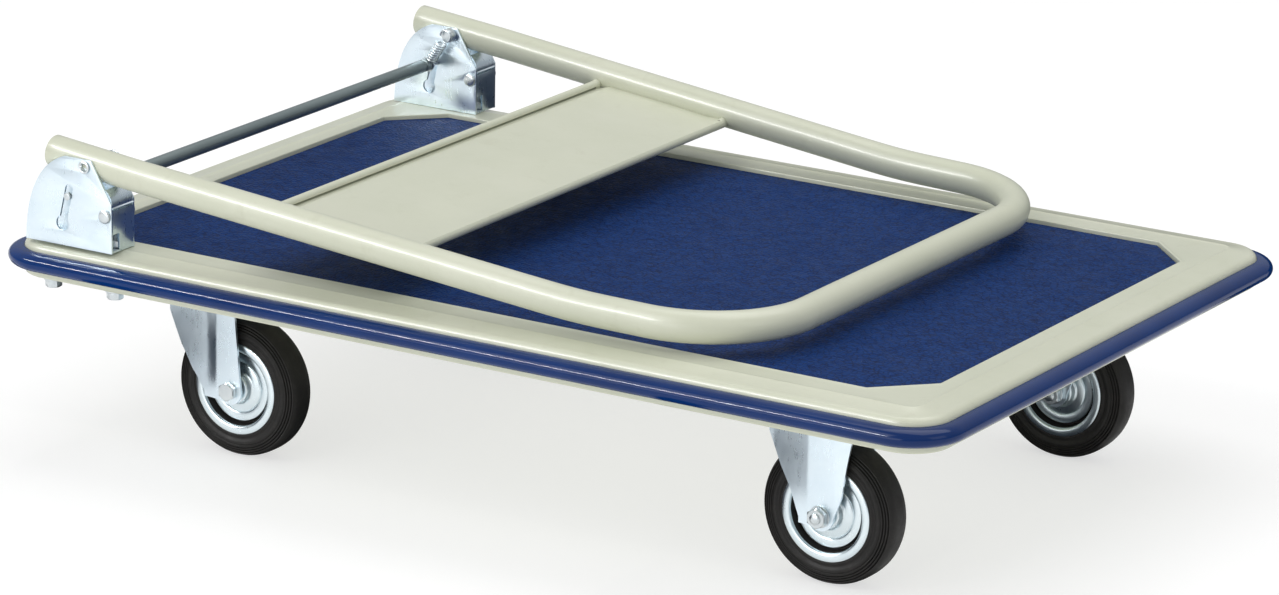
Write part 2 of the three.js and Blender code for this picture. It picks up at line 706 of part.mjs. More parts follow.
// Fixed fork about the axle: its legs rise to a flat plate under the cross channel.
function fixedFork() {
  const top = PLATE_TOP - WHEEL_RADIUS;
  const bottom = top - PLATE_SHEET;
  const back = [[-59, bottom + WELD], [-51, 64], [-29, 18]];
  const outline = legOutline([[32, bottom + WELD], [27, 67], [19, 18]], back);
  const plate = block(-PLATE_LENGTH / 2, PLATE_LENGTH / 2, -PLATE_WIDTH / 2, PLATE_WIDTH / 2, bottom, top);
  plate.translate(FIXED_PLATE_SHIFT, 0, 0);
  const whole = joined([plate]).add(forkLegs(outline, -LEG_FOOT, LEG_FOOT));
  return geometryOf(cutBy(whole, [axleHole()]));
}

function topPlate() {
  const plate = roundedRectangle(PLATE_LENGTH, PLATE_WIDTH, 6);
  return standing(withRoundHole(plate, KINGPIN_RADIUS + GAP), PLATE_TOP - PLATE_SHEET, PLATE_TOP, 5);
}

function bearingRing() {
  return turnedAboutZ(ringProfile(16, 32, CROWN_TOP + GAP, PLATE_TOP - PLATE_SHEET - GAP), 20);
}

function kingpin() {
  const low = CROWN_BOTTOM - GAP;
  const shank = KINGPIN_RADIUS;
  const head = shank + 3;
  const profile = [
    [0, low - 7], [head, low - 7], [head, low],
    [shank, low], [shank, PLATE_TOP], [0, PLATE_TOP],
  ];
  return turnedAboutZ(profile, 12);
}

// ---- assembly ----------------------------------------------------------------------
const cart = new THREE.Group();

function addDeck() {
  addPiece(cart, 'deck_pan', deckPan(), BEIGE_PAINT);
  const mat = standing(matOutline(0), 0, MAT_THICKNESS);
  addPiece(cart, 'anti_slip_mat', mat, BLUE_VINYL, 0, 0, MAT_TOP - MAT_THICKNESS);
  addPiece(cart, 'bumper_strip', bumperStrip(), BLUE_BUMPER);
  for (const [name, side] of SIDES) addPiece(cart, `side_rail_${name}`, sideRail(side), BEIGE_PAINT);
  addPiece(cart, 'caster_channel_rear', casterChannel(), BEIGE_PAINT, SWIVEL_X);
  addPiece(cart, 'caster_channel_front', casterChannel(), BEIGE_PAINT, FIXED_X + FIXED_PLATE_SHIFT);
}

// One bracket with its pins, about the hinge axis; its bolts stand on the floor's level.
function addHinge(name, side) {
  const hinge = addGroup(cart, PIVOT_X, side * BRACKET_Y, PIVOT_Z);
  addPiece(hinge, `hinge_bracket_${name}`, hingeBracket(), ZINC);
  const pin = addPiece(hinge, `pivot_pin_${name}`, pivotPin(), ZINC);
  if (side === RIGHT) pin.rotation.x = Math.PI;
  addPiece(hinge, `stop_rivet_${name}`, stopRivet(), ZINC, STOP.x, 0, STOP.z);
  for (const [end, offset] of Object.entries(BOLT_OFFSETS)) {
    addPiece(hinge, `bracket_bolt_${name}_${end}`, bracketBolt(), ZINC, offset, 0, -PIVOT_Z);
    addPiece(hinge, `bracket_nut_${name}_${end}`, bracketNut(), ZINC, offset, 0, -PIVOT_Z);
  }
}

function addHandle() {
  const handle = addGroup(cart, PIVOT_X, 0, PIVOT_Z);
  addPiece(handle, 'handle_tube', handleTube(), BEIGE_PAINT);
  const panel = addPiece(handle, 'handle_panel', handlePanel(), BEIGE_PAINT);
  panel.rotation.y = radians(FOLD_SLOPE);
}

function addRelease() {
  const release = addGroup(cart, PIVOT_X + PIN_X, 0, PIVOT_Z + PIN_Z);
  addPiece(release, 'release_bar', releaseBar(), DARK_PAINT);
  for (const [name, side] of SIDES) {
    const end = addGroup(release, 0, 0, 0);
    if (side === RIGHT) end.rotation.x = Math.PI;
    addPiece(end, `bar_washer_${name}`, barWasher(), ZINC);
    addPiece(end, `pin_stud_${name}`, pinStud(), ZINC);
    const spring = addPiece(
      cart, `return_spring_${name}`, returnSpring(), BEARING_STEEL, PIVOT_X, side * SPRING_Y, PIVOT_Z,
    );
    spring.rotation.y = -Math.atan2(PIN_X, -PIN_Z);
  }
}

// Wheel and axle parts about the axle; `turn` swings the bolt's head to the other side.
function addWheel(wheel, prefix, boltTail, turn) {
  const bolt = addPiece(wheel, `${prefix}_axle_bolt`, axleBolt(boltTail), ZINC);
  const nut = addPiece(wheel, `${prefix}_axle_nut`, axleNut(), ZINC);
  bolt.rotation.z = turn;
  nut.rotation.z = turn;
  addPiece(wheel, `${prefix}_axle_sleeve`, axleSleeve(), BEARING_STEEL);
  addPiece(wheel, `${prefix}_rim`, rim(), ZINC);
  addPiece(wheel, `${prefix}_tyre`, tyre(), BLACK_RUBBER);
}

function addFixedCaster(name, side) {
  const prefix = `fixed_caster_${name}`;
  const wheel = addGroup(cart, FIXED_X, side * TRACK, WHEEL_RADIUS);
  addPiece(wheel, `${prefix}_fork`, fixedFork(), ZINC);
  addWheel(wheel, prefix, FIXED_BOLT_TAIL, Math.PI);
}

function addSwivelCaster(name, side) {
  const prefix = `swivel_caster_${name}`;
  const caster = addGroup(cart, SWIVEL_X, side * TRACK, 0);
  addPiece(caster, `${prefix}_top_plate`, topPlate(), ZINC);
  addPiece(caster, `${prefix}_bearing_ring`, bearingRing(), BEARING_STEEL);
  addPiece(caster, `${prefix}_kingpin`, kingpin(), ZINC);
  const wheel = addGroup(caster, TRAIL, 0, WHEEL_RADIUS);
  addPiece(wheel, `${prefix}_fork`, swivelFork(), ZINC);
  addWheel(wheel, prefix, SWIVEL_BOLT_TAIL, 0);
}

addDeck();
addHandle();
addRelease();
for (const [name, side] of SIDES) {
  addHinge(name, side);
  addFixedCaster(name, side);
  addSwivelCaster(name, side);
}

export default cart;
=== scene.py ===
import json
import math

import bmesh
import bpy
from mathutils import Matrix, Vector


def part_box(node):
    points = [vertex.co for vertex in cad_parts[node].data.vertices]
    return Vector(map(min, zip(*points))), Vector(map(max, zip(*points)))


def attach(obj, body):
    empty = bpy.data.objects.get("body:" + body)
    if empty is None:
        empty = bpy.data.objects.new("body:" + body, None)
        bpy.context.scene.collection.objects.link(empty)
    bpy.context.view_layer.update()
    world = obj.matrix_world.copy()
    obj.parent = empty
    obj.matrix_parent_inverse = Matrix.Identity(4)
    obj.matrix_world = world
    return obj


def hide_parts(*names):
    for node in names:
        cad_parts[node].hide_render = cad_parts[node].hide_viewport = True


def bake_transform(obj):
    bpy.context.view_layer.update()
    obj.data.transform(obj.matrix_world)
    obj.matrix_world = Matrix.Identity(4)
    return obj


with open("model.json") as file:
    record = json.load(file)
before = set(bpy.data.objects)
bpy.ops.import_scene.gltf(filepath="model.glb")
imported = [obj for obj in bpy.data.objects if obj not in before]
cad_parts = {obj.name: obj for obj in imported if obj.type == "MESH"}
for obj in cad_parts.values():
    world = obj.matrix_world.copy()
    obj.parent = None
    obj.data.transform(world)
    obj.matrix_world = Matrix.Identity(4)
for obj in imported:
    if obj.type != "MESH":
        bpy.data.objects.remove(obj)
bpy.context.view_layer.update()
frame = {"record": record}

MM = 0.001
SIDES = {"left": 1, "right": -1}
TAU = 2 * math.pi


# ---- places read from the frame ----------------------------------------------------
def box_mm(node):
    """Lowest corner, highest corner and centre of a CAD node, in millimetres."""
    low, high = (Vector(corner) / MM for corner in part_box(node))
    return low, high, (low + high) / 2


def joint_mm(name):
    """The place of a hinge, in millimetres."""
    for joint in frame["record"]["behaviour"]["joints"]:
        if joint["name"] == name:
            return Vector(joint["pos_m"]) / MM
    raise KeyError(name)


PIVOT = joint_mm("handle_fold")
PAN_LOW, PAN_HIGH, _ = box_mm("deck_pan")
MAT_LOW, MAT_HIGH, _ = box_mm("anti_slip_mat")
BUMPER_LOW, BUMPER_HIGH, _ = box_mm("bumper_strip")
BRACKET_Y = box_mm("hinge_bracket_left")[2].y
BRACKET_FOOT = box_mm("hinge_bracket_left")[0].z
PIN = box_mm("release_bar")[2] - PIVOT
STOP = box_mm("stop_rivet_left")[2] - PIVOT


# ---- material kit ------------------------------------------------------------------
def srgb(red, green, blue):
    """Linear colour for 8-bit sRGB values."""
    def linear(value):
        share = value / 255
        return share / 12.92 if share <= 0.04045 else ((share + 0.055) / 1.055) ** 2.4
    return (linear(red), linear(green), linear(blue), 1.0)


class Finish:
    """A Principled material whose colour, roughness and bump come from noise in object space."""

    def __init__(self, name):
        self.material = bpy.data.materials.new(name)
        self.material.use_nodes = True
        self.tree = self.material.node_tree
        self.shader = self.tree.nodes["Principled BSDF"]
        self.coordinates = self.node("TexCoord").outputs["Object"]

    def put(self, value, socket):
        """Gives a socket a value, or links it to another socket."""
        if isinstance(value, bpy.types.NodeSocket):
            self.tree.links.new(value, socket)
        else:
            socket.default_value = value

    def node(self, kind, **inputs):
        node = self.tree.nodes.new("ShaderNode" + kind)
        for name, value in inputs.items():
            self.put(value, node.inputs[name.replace("_", " ")])
        return node

    def set(self, **inputs):
        """Sets or links inputs of the Principled shader."""
        for name, value in inputs.items():
            self.put(value, self.shader.inputs[name.replace("_", " ")])

    def stretched(self, scale):
        """Object coordinates in metres, multiplied by a scale for each axis."""
        return self.node("Mapping", Vector=self.coordinates, Scale=scale).outputs["Vector"]

    def noise(self, scale, detail=4.0, roughness=0.55, stretch=(1, 1, 1), distortion=0.0):
        node = self.node("TexNoise", Vector=self.stretched(stretch), Scale=scale, Detail=detail)
        self.put(roughness, node.inputs["Roughness"])
        self.put(distortion, node.inputs["Distortion"])
        return node.outputs["Fac"]

    def cells(self, scale, stretch):
        """Distance to the nearest edge of an irregular cell pattern."""
        node = self.node("TexVoronoi")
        node.feature = "DISTANCE_TO_EDGE"
        self.put(self.stretched(stretch), node.inputs["Vector"])
        self.put(scale, node.inputs["Scale"])
        return node.outputs["Distance"]

    def remap(self, value, low, high, to_low=0.0, to_high=1.0):
        node = self.node("MapRange", Value=value, From_Min=low, From_Max=high)
        self.put(to_low, node.inputs["To Min"])
        self.put(to_high, node.inputs["To Max"])
        return node.outputs["Result"]

    def total(self, first, second):
        node = self.node("Math")
        self.put(first, node.inputs[0])
        self.put(second, node.inputs[1])
        return node.outputs["Value"]

    def mix(self, share, first, second):
        """Colour mixed from two colours, each a tuple or a socket."""
        node = self.node("Mix")
        node.data_type = "RGBA"
        self.put(share, node.inputs[0])
        self.put(first, node.inputs[6])
        self.put(second, node.inputs[7])
        return node.outputs[2]

    def bump(self, *layers):
        """Layers are (height socket, height in metres, strength), coarse ones first."""
        normal = None
        for height, distance, strength in layers:
            node = self.node("Bump", Height=height, Distance=distance, Strength=strength)
            if normal is not None:
                self.put(normal, node.inputs["Normal"])
            normal = node.outputs["Normal"]
        self.set(Normal=normal)


def beige_paint():
    """Pebble-grey stove enamel: faint orange peel, soft stains and a few patches worn by rubbing.
    """
    f = Finish("beige_paint")
    patches = f.remap(f.noise(7, 5, 0.6), 0.35, 0.7)
    base = f.mix(patches, srgb(198, 201, 180), srgb(205, 207, 188))
    grime = f.remap(f.noise(38, 6, 0.65, distortion=0.6), 0.58, 0.78, 0.0, 0.28)
    base = f.mix(grime, base, srgb(176, 176, 152))
    specks = f.remap(f.noise(900, 2, 0.5), 0.7, 0.78, 0.0, 0.25)
    f.set(Base_Color=f.mix(specks, base, srgb(156, 154, 134)))
    f.set(Roughness=f.remap(f.noise(22, 5, 0.6), 0.3, 0.75, 0.3, 0.46))
    f.bump((f.noise(420, 2, 0.4), 0.0004, 0.12), (f.noise(2600, 2, 0.5), 0.00008, 0.1))
    f.set(Coat_Weight=0.25, Coat_Roughness=0.18, IOR=1.5)
    return f.material


def mat_vinyl():
    """Navy vinyl with a fine leather grain that runs a little along the deck."""
    f = Finish("mat_vinyl")
    drift = f.remap(f.noise(3.2, 4, 0.55), 0.3, 0.7)
    base = f.mix(drift, srgb(10, 42, 94), srgb(16, 50, 108))
    grain = f.cells(230, (0.8, 1, 1))
    valley = f.remap(grain, 0.0, 0.16, 0.9, 0.0)
    base = f.mix(valley, base, srgb(8, 20, 50))
    mottle = f.remap(f.noise(150, 3, 0.6, (0.7, 1, 1)), 0.35, 0.7, 0.0, 0.4)
    base = f.mix(mottle, base, srgb(30, 70, 132))
    dust = f.remap(f.noise(16, 6, 0.7, (0.6, 1, 1), 0.5), 0.6, 0.8, 0.0, 0.16)
    f.set(Base_Color=f.mix(dust, base, srgb(62, 80, 120)))
    f.set(Roughness=f.remap(f.noise(60, 4, 0.6), 0.3, 0.7, 0.46, 0.62))
    pebbles = f.remap(grain, 0.0, 0.22)
    f.bump(
        (f.noise(55, 3, 0.5, (0.5, 1, 1)), 0.0008, 0.15),
        (pebbles, 0.0006, 0.8),
        (f.noise(1500, 2, 0.6), 0.00012, 0.3),
    )
    f.set(Specular_IOR_Level=0.07)
    return f.material


def bumper_pvc():
    """Glossy blue extruded PVC, drawn along its length, with light scuffs."""
    f = Finish("bumper_pvc")
    drift = f.remap(f.noise(9, 4, 0.6), 0.3, 0.7)
    base = f.mix(drift, srgb(2, 38, 92), srgb(4, 48, 108))
    scuffs = f.remap(f.noise(70, 6, 0.75, (0.35, 0.35, 2.2), 0.8), 0.64, 0.8, 0.0, 0.3)
    f.set(Base_Color=f.mix(scuffs, base, srgb(22, 62, 118)))
    f.set(Roughness=f.remap(f.noise(48, 5, 0.65), 0.3, 0.75, 0.09, 0.17))
    f.bump(
        (f.noise(26, 2, 0.5), 0.0014, 0.1),
        (f.noise(300, 3, 0.55, (0.2, 0.2, 1.6)), 0.00025, 0.16),
        (f.noise(1900, 2, 0.5), 0.00006, 0.14),
    )
    f.set(Specular_IOR_Level=0.26)
    return f.material


def zinc_finish(name, light, dark, low, high, streak=(1, 1, 1)):
    """Zinc-plated steel: cloudy tone, faint stains, fine draw lines and a soft mirror."""
    f = Finish(name)
    cloud = f.remap(f.noise(34, 5, 0.6, distortion=0.4), 0.32, 0.7)
    base = f.mix(cloud, dark, light)
    stain = f.remap(f.noise(95, 5, 0.7), 0.62, 0.82, 0.0, 0.12)
    f.set(Base_Color=f.mix(stain, base, srgb(168, 180, 186)))
    lines = f.noise(520, 3, 0.6, streak)
    rough = f.remap(f.noise(60, 5, 0.6), 0.3, 0.72, low, high)
    f.set(Roughness=f.total(rough, f.remap(lines, 0.35, 0.7, -0.02, 0.03)))
    f.bump((f.noise(70, 3, 0.5), 0.0002, 0.01), (lines, 0.00002, 0.02))
    f.set(Metallic=1.0)
    return f.material


def dark_paint():
    """Dark grey-green varnish over drawn bar, with lighter streaks along it: wear from rubbing and
    painted glints.
    """
    f = Finish("dark_paint")
    drift = f.remap(f.noise(30, 4, 0.6, (1, 0.15, 1)), 0.3, 0.7)
    base = f.mix(drift, srgb(104, 116, 118), srgb(128, 140, 141))
    # Lighter streaks along the bar: wear from rubbing and painted glints.
    rubbed_wear_and_painted_glint = f.remap(f.noise(160, 5, 0.7, (1, 0.12, 1), 0.4), 0.62, 0.78, 0.0, 0.5)
    f.set(Base_Color=f.mix(rubbed_wear_and_painted_glint, base, srgb(132, 142, 140)))
    f.set(Roughness=f.remap(f.noise(90, 4, 0.6, (1, 0.2, 1)), 0.3, 0.7, 0.3, 0.44))
    f.bump((f.noise(600, 3, 0.6, (1, 0.1, 1)), 0.0001, 0.25))
    f.set(Metallic=0.55)
    return f.material


def tyre_rubber():
    """Brown-black moulded rubber with a dusty bloom and a fine moulded skin."""
    f = Finish("tyre_rubber")
    drift = f.remap(f.noise(24, 5, 0.6), 0.3, 0.7)
    base = f.mix(drift, srgb(22, 21, 20), srgb(31, 29, 28))
    bloom = f.remap(f.noise(85, 6, 0.72, distortion=0.5), 0.52, 0.78, 0.0, 0.4)
    f.set(Base_Color=f.mix(bloom, base, srgb(56, 53, 50)))
    f.set(Roughness=f.remap(f.noise(70, 5, 0.65), 0.3, 0.75, 0.5, 0.72))
    f.bump((f.noise(240, 4, 0.6), 0.0003, 0.3), (f.noise(1800, 2, 0.6), 0.0001, 0.35))
    f.set(Specular_IOR_Level=0.3)
    return f.material


def floor_paint():
    """Pale studio floor with a barely visible mottle."""
    f = Finish("studio_floor")
    mottle = f.remap(f.noise(0.8, 3, 0.5), 0.3, 0.7)
    f.set(Base_Color=f.mix(mottle, (0.40, 0.40, 0.40, 1), (0.42, 0.42, 0.42, 1)))
    f.set(Roughness=f.remap(f.noise(5, 3, 0.5), 0.3, 0.7, 0.55, 0.7))
    f.set(Specular_IOR_Level=0.1, Emission_Color=(1, 1, 1, 1), Emission_Strength=0.62)
    return f.material


def card_paint():
    """Dark blue-grey flocked card, which the zinc mirrors as painted shade."""
    f = Finish("shade_card")
    fluff = f.remap(f.noise(40, 3, 0.6), 0.3, 0.7)
    f.set(Base_Color=f.mix(fluff, srgb(22, 34, 52), srgb(34, 48, 68)))
    f.set(Roughness=f.remap(f.noise(12, 3, 0.5), 0.3, 0.7, 0.85, 0.95))
    f.set(Specular_IOR_Level=0.1)
    return f.material


PAINT = beige_paint()
VINYL = mat_vinyl()
PVC = bumper_pvc()
ZINC = zinc_finish("zinc_plate", srgb(229, 241, 248), srgb(221, 235, 244), 0.27, 0.32, (1, 1, 0.15))
RIM_ZINC = zinc_finish("zinc_rim", srgb(226, 236, 240), srgb(216, 228, 233), 0.27, 0.34)
BOLT_ZINC = zinc_finish("zinc_bolt", srgb(222, 227, 228), srgb(192, 200, 204), 0.26, 0.4)
SPRING_STEEL = zinc_finish("spring_steel", srgb(236, 242, 244), srgb(206, 214, 218), 0.22, 0.34)
DARK = dark_paint()
RUBBER = tyre_rubber()


# ---- mesh kit ----------------------------------------------------------------------
HEX_SEGMENTS = 36
THREAD_SEGMENTS = 20
M8_FLATS = 13
M8_RADIUS = 4.0


def new_object(name, data):
    """Puts an object with some data in the scene."""
    item = bpy.data.objects.new(name, data)
    bpy.context.scene.collection.objects.link(item)
    return item


class Build:
    """Collects vertices and faces in millimetres and turns them into one finished object."""

    def __init__(self):
        self.vertices = []
        self.faces = []
        self.slots = []

    def add(self, vertices, faces, place=None):
        first = len(self.vertices)
        placed = [Vector(v) for v in vertices]
        if place is not None:
            placed = [place @ v for v in placed]
        self.vertices += placed
        self.faces += [[first + index for index in face] for face in faces]
        self.slots += [0] * len(faces)
        return self

    def finish(self, node, suffix, materials, body, sharp=32, slot=None, replaces=True):
        """One object named after its CAD node, in that node's place, on its body; slot is not used.
        """
        name = f"{node}_{suffix}"
        mesh = bpy.data.meshes.new(name)
        mesh.from_pydata([v * MM for v in self.vertices], [], self.faces)
        for material in materials:
            mesh.materials.append(material)
        mesh.polygons.foreach_set("material_index", self.slots)
        tidy = bmesh.new()
        tidy.from_mesh(mesh)
        bmesh.ops.remove_doubles(tidy, verts=tidy.verts, dist=1e-6)
        bmesh.ops.recalc_face_normals(tidy, faces=tidy.faces)
        tidy.to_mesh(mesh)
        tidy.free()
        mesh.shade_smooth()
        mesh.set_sharp_from_angle(angle=math.radians(sharp))
        piece = new_object(name, mesh)
        if body is not None:
            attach(piece, body)
        if replaces:
            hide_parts(node)
        return piece


def lofted(rings, wrap=False, caps=(False, False)):
    """Faces between rings of equal length; wrap joins the last ring to the first."""
    count = len(rings[0])
    vertices = [point for ring in rings for point in ring]
    faces = []
    for row in range(len(rings) if wrap else len(rings) - 1):
        here = row * count
        there = ((row + 1) % len(rings)) * count
        for k in range(count):
            after = (k + 1) % count
            faces.append([here + k, here + after, there + after, there + k])
    if caps[0]:
        faces.append(list(range(count))[::-1])
    if caps[1]:
        faces.append([(len(rings) - 1) * count + k for k in range(count)])
    return vertices, faces


def around(axis, centre, radius, angle, along):
    """The point at a radius and an angle round an axis (Y or Z) through centre."""
    a, b = radius * math.cos(angle), radius * math.sin(angle)
    point = (a, along, b) if axis == "Y" else (a, b, along)
    return Vector(point) + Vector(centre)


def turned(profile, axis="Y", centre=(0, 0, 0), segments=48, closed=False):
    """Profile of (radius, distance) turned round an axis through centre."""
    rings = []
    for radius, level in profile:
        angles = [TAU * k / segments for k in range(segments)]
        rings.append([around(axis, centre, radius, angle, level) for angle in angles])
    return lofted(rings, wrap=closed)


def arc(cx, cy, radius, start, end, steps):
    """Points on an arc, angles in degrees."""
    points = []
    for k in range(steps + 1):
        angle = math.radians(start + (end - start) * k / steps)
        points.append((cx + radius * math.cos(angle), cy + radius * math.sin(angle)))
    return points


def filleted(corners, radius, steps=6):
    """Closed outline through corners, each rounded by its own or a common radius."""
    outline = []
    count = len(corners)
    for k, corner in enumerate(corners):
        size = radius[k] if isinstance(radius, (list, tuple)) else radius
        here = Vector(corner)
        back = Vector(corners[k - 1]) - here
        ahead = Vector(corners[(k + 1) % count]) - here
        if size <= 0:
            outline.append(tuple(here))
            continue
        half = back.angle(ahead) / 2
        reach = min(size / math.tan(half), 0.49 * min(back.length, ahead.length))
        start = here + back.normalized() * reach
        end = here + ahead.normalized() * reach
        for step in range(steps + 1):
            share = step / steps
            outer = start.lerp(here, share)
            inner = here.lerp(end, share)
            outline.append(tuple(outer.lerp(inner, share)))
    return outline


def cut_plate(outline, holes, thickness, bevel=0.3):
    """Flat plate in its own XY plane, centred on Z = 0, with holes and eased edges."""
    curve = bpy.data.curves.new("outline", "CURVE")
    curve.dimensions = "2D"
    curve.fill_mode = "BOTH"
    curve.extrude = (thickness / 2 - bevel) * MM
    curve.bevel_depth = bevel * MM
    curve.bevel_resolution = 1
    curve.offset = -bevel * MM
    for points in [outline, *holes]:
        spline = curve.splines.new("POLY")
        spline.points.add(len(points) - 1)
        for target, (a, b) in zip(spline.points, points):
            target.co = (a * MM, b * MM, 0, 1)
        spline.use_cyclic_u = True
    holder = new_object("outline", curve)
    mesh = bpy.data.meshes.new_from_object(holder)
    vertices = [v.co / MM for v in mesh.vertices]
    faces = [list(p.vertices) for p in mesh.polygons]
    bpy.data.objects.remove(holder)
    bpy.data.curves.remove(curve)
    bpy.data.meshes.remove(mesh)
    return vertices, faces


def side_plane(x, y, z):
    """Carries a plate drawn in (x, z) to the side plane at y."""
    return Matrix.Translation((x, y, z)) @ Matrix.Rotation(math.pi / 2, 4, "X")


def thick_sheet(grid, thickness):
    """Closed sheet of even thickness about a grid of middle-surface points."""
    rows, columns = len(grid), len(grid[0])

    def normal(r, c):
        across = grid[r][min(c + 1, columns - 1)] - grid[r][max(c - 1, 0)]
        down = grid[min(r + 1, rows - 1)][c] - grid[max(r - 1, 0)][c]
        return across.cross(down).normalized() * (thickness / 2)

    offsets = [[normal(r, c) for c in range(columns)] for r in range(rows)]
    front = [[grid[r][c] + offsets[r][c] for c in range(columns)] for r in range(rows)]
    back = [[grid[r][c] - offsets[r][c] for c in range(columns)] for r in range(rows)]
    vertices = [v for row in front for v in row] + [v for row in back for v in row]
    size = rows * columns
    faces = []
    for r in range(rows - 1):
        for c in range(columns - 1):
            a = r * columns + c
            faces.append([a, a + 1, a + columns + 1, a + columns])
            faces.append([size + a + columns, size + a + columns + 1, size + a + 1, size + a])
    rim = list(range(columns))
    rim += [r * columns + columns - 1 for r in range(1, rows)]
    rim += [(rows - 1) * columns + c for c in range(columns - 2, -1, -1)]
    rim += [r * columns for r in range(rows - 2, 0, -1)]
    for k, here in enumerate(rim):
        there = rim[(k + 1) % len(rim)]
        faces.append([there, here, size + here, size + there])
    return vertices, faces


def swept(path, section):
    """Section (list of (across, up)) carried along a path without twisting; open ends."""
    rings = []
    up = Vector((0, 0, 1))
    for k, point in enumerate(path):
        ahead = path[min(k + 1, len(path) - 1)] - path[max(k - 1, 0)]
        ahead = ahead.normalized()
        side = ahead.cross(up).normalized()
        lift = side.cross(ahead).normalized()
        rings.append([point + side * a + lift * b for a, b in section])
    return rings


def hex_block(across_flats, low, high, bore, axis="Z", centre=(0, 0, 0), turn=0.0):
    """Hexagon with rounded-off corners at both ends, bored if bore is above nothing."""
    flat = across_flats / 2
    easing = 0.09 * across_flats * 0.6
    levels = [(low, flat * 0.96), (low + easing, None), (high - easing, None), (high, flat * 0.96)]
    if bore > 0:
        levels = [(low, bore), *levels, (high, bore)]

    def reach(angle):
        return flat / math.cos((angle - turn) % (TAU / 6) - TAU / 12)

    rings = []
    for level, radius in levels:
        angles = [TAU * k / HEX_SEGMENTS for k in range(HEX_SEGMENTS)]
        rings.append([around(axis, centre, radius or reach(a), a, level) for a in angles])
    return lofted(rings, wrap=bore > 0, caps=(bore <= 0, bore <= 0))


def threaded_rod(radius, low, high, pitch=1.25, axis="Z", centre=(0, 0, 0)):
    """Rod with a screw thread: one continuous ridge, chamfered at its far end."""
    steps = int((high - low) / pitch * 6)
    rings = []
    for row in range(steps + 1):
        level = low + (high - low) * row / steps
        taper = min(1.0, (high - level) / pitch * 0.6 + 0.55)
        ring = []
        for k in range(THREAD_SEGMENTS):
            wave = (level / pitch - k / THREAD_SEGMENTS) % 1.0
            ridge = 1 - abs(2 * wave - 1)
            size = radius * taper - (1 - ridge) * 0.3 * pitch
            ring.append(around(axis, centre, size, TAU * k / THREAD_SEGMENTS, level))
        rings.append(ring)
    return lofted(rings, caps=(True, True))


# ---- deck --------------------------------------------------------------------------
SHEET = 1.6
PAN_CORNER = 36.0
PAN_HEM = 2.2
CREASE = 24.0
SHOULDER_DROP = 2.7
RECESS_LIP = 0.55
EDGE_ROLL = 7.0
RECESS_CHAMFER = 43.0


def deck_outline(inset, level, steps=10):
    """Ring round the deck at a distance inside its largest outline."""
    half_x = PAN_HIGH.x - inset
    half_y = PAN_HIGH.y - inset
    radius = max(PAN_CORNER - inset, 4.0)
    corners = ((1, 1, 0), (-1, 1, 90), (-1, -1, 180), (1, -1, 270))
    ring = []
    for sx, sy, start in corners:
        cx, cy = sx * (half_x - radius), sy * (half_y - radius)
        ring += [Vector((a, b, level)) for a, b in arc(cx, cy, radius, start, start + 90, steps)]
    return ring


def recess_outline(grow, level, radius):
    """Ring round the chamfered mat recess, grown outwards by a distance."""
    half_x, half_y = MAT_HIGH.x + grow, MAT_HIGH.y + grow
    chamfer = RECESS_CHAMFER + grow * (2 - math.sqrt(2))
    corners = [
        (half_x - chamfer, -half_y), (half_x, chamfer - half_y), (half_x, half_y - chamfer),
        (half_x - chamfer, half_y), (chamfer - half_x, half_y), (-half_x, half_y - chamfer),
        (-half_x, chamfer - half_y), (chamfer - half_x, -half_y),
    ]
    return [Vector((a, b, level)) for a, b in filleted(corners, radius, 4)]


def ring_face(outer, inner):
    """Fills the flat band between an outer and an inner ring."""
    fill = bmesh.new()
    edges = []
    for ring in (outer, inner):
        corners = [fill.verts.new(point) for point in ring]
        for k, corner in enumerate(corners):
            edges.append(fill.edges.new((corner, corners[(k + 1) % len(corners)])))
    bmesh.ops.triangle_fill(fill, use_beauty=True, use_dissolve=False, edges=edges)
    fill.verts.index_update()
    vertices = [v.co.copy() for v in fill.verts]
    faces = [[v.index for v in face.verts] for face in fill.faces]
    fill.free()
    return vertices, faces


def pan_skin(t):
    """Rings of the pressed pan's outside (0) or inside (sheet thickness), from hem to recess."""
    crease = PAN_HIGH.z - t
    top = crease - SHOULDER_DROP
    roll = EDGE_ROLL - t
    bottom = PAN_LOW.z
    if t == 0:
        rings = [deck_outline(6.0, bottom + 0.6), deck_outline(5.6, bottom)]
        for degrees in (0, 30, 60, 90):
            turn = math.radians(degrees)
            inset, rise = PAN_HEM * (1 - math.sin(turn)), PAN_HEM * (1 - math.cos(turn))
            rings.append(deck_outline(inset, bottom + rise))
    else:
        inside = ((6.0, t), (t + 0.4, t), (t, t + 0.5))
        rings = [deck_outline(inset, bottom + rise) for inset, rise in inside]
    rings.append(deck_outline(t, bottom + 9))
    for step in range(9):
        angle = math.radians(90 * step / 8)
        inset, rise = t + roll * (1 - math.cos(angle)), roll * math.sin(angle)
        rings.append(deck_outline(inset, top - roll + rise))
    slope = SHOULDER_DROP / (CREASE - EDGE_ROLL)
    for inset in (EDGE_ROLL + 1.5, CREASE - 1.0):
        rings.append(deck_outline(inset, top + slope * (inset - EDGE_ROLL)))
    ridge = ((-0.2, 0.2), (0.5, 0.4), (1.2, 0.38), (2.0, 0.12), (2.8, 0.0), (4.4, 0.0))
    rings += [deck_outline(CREASE + inward, crease + rise) for inward, rise in ridge]
    return rings


def recess_rings(t):
    """Rings from the shoulder down the eased step to the recess floor."""
    top = PAN_HIGH.z - t
    floor = MAT_LOW.z - 0.3 - t
    ease = 1.1
    lip = 0.8 + t
    approach = ((3.6, 0.0), (2.2, 0.1), (1.0, 0.45))
    rings = [recess_outline(lip + ease + out, top + rise, 3.5) for out, rise in approach]
    top += RECESS_LIP
    for angle in (0, 30, 60, 90):
        turn = math.radians(angle)
        out, drop = ease * (1 - math.sin(turn)), ease * (1 - math.cos(turn))
        rings.append(recess_outline(lip + out, top - drop, 3.0))
    rings.append(recess_outline(lip, floor + 0.4, 2.5))
    rings.append(recess_outline(lip - 0.6, floor, 2.5))
    return rings


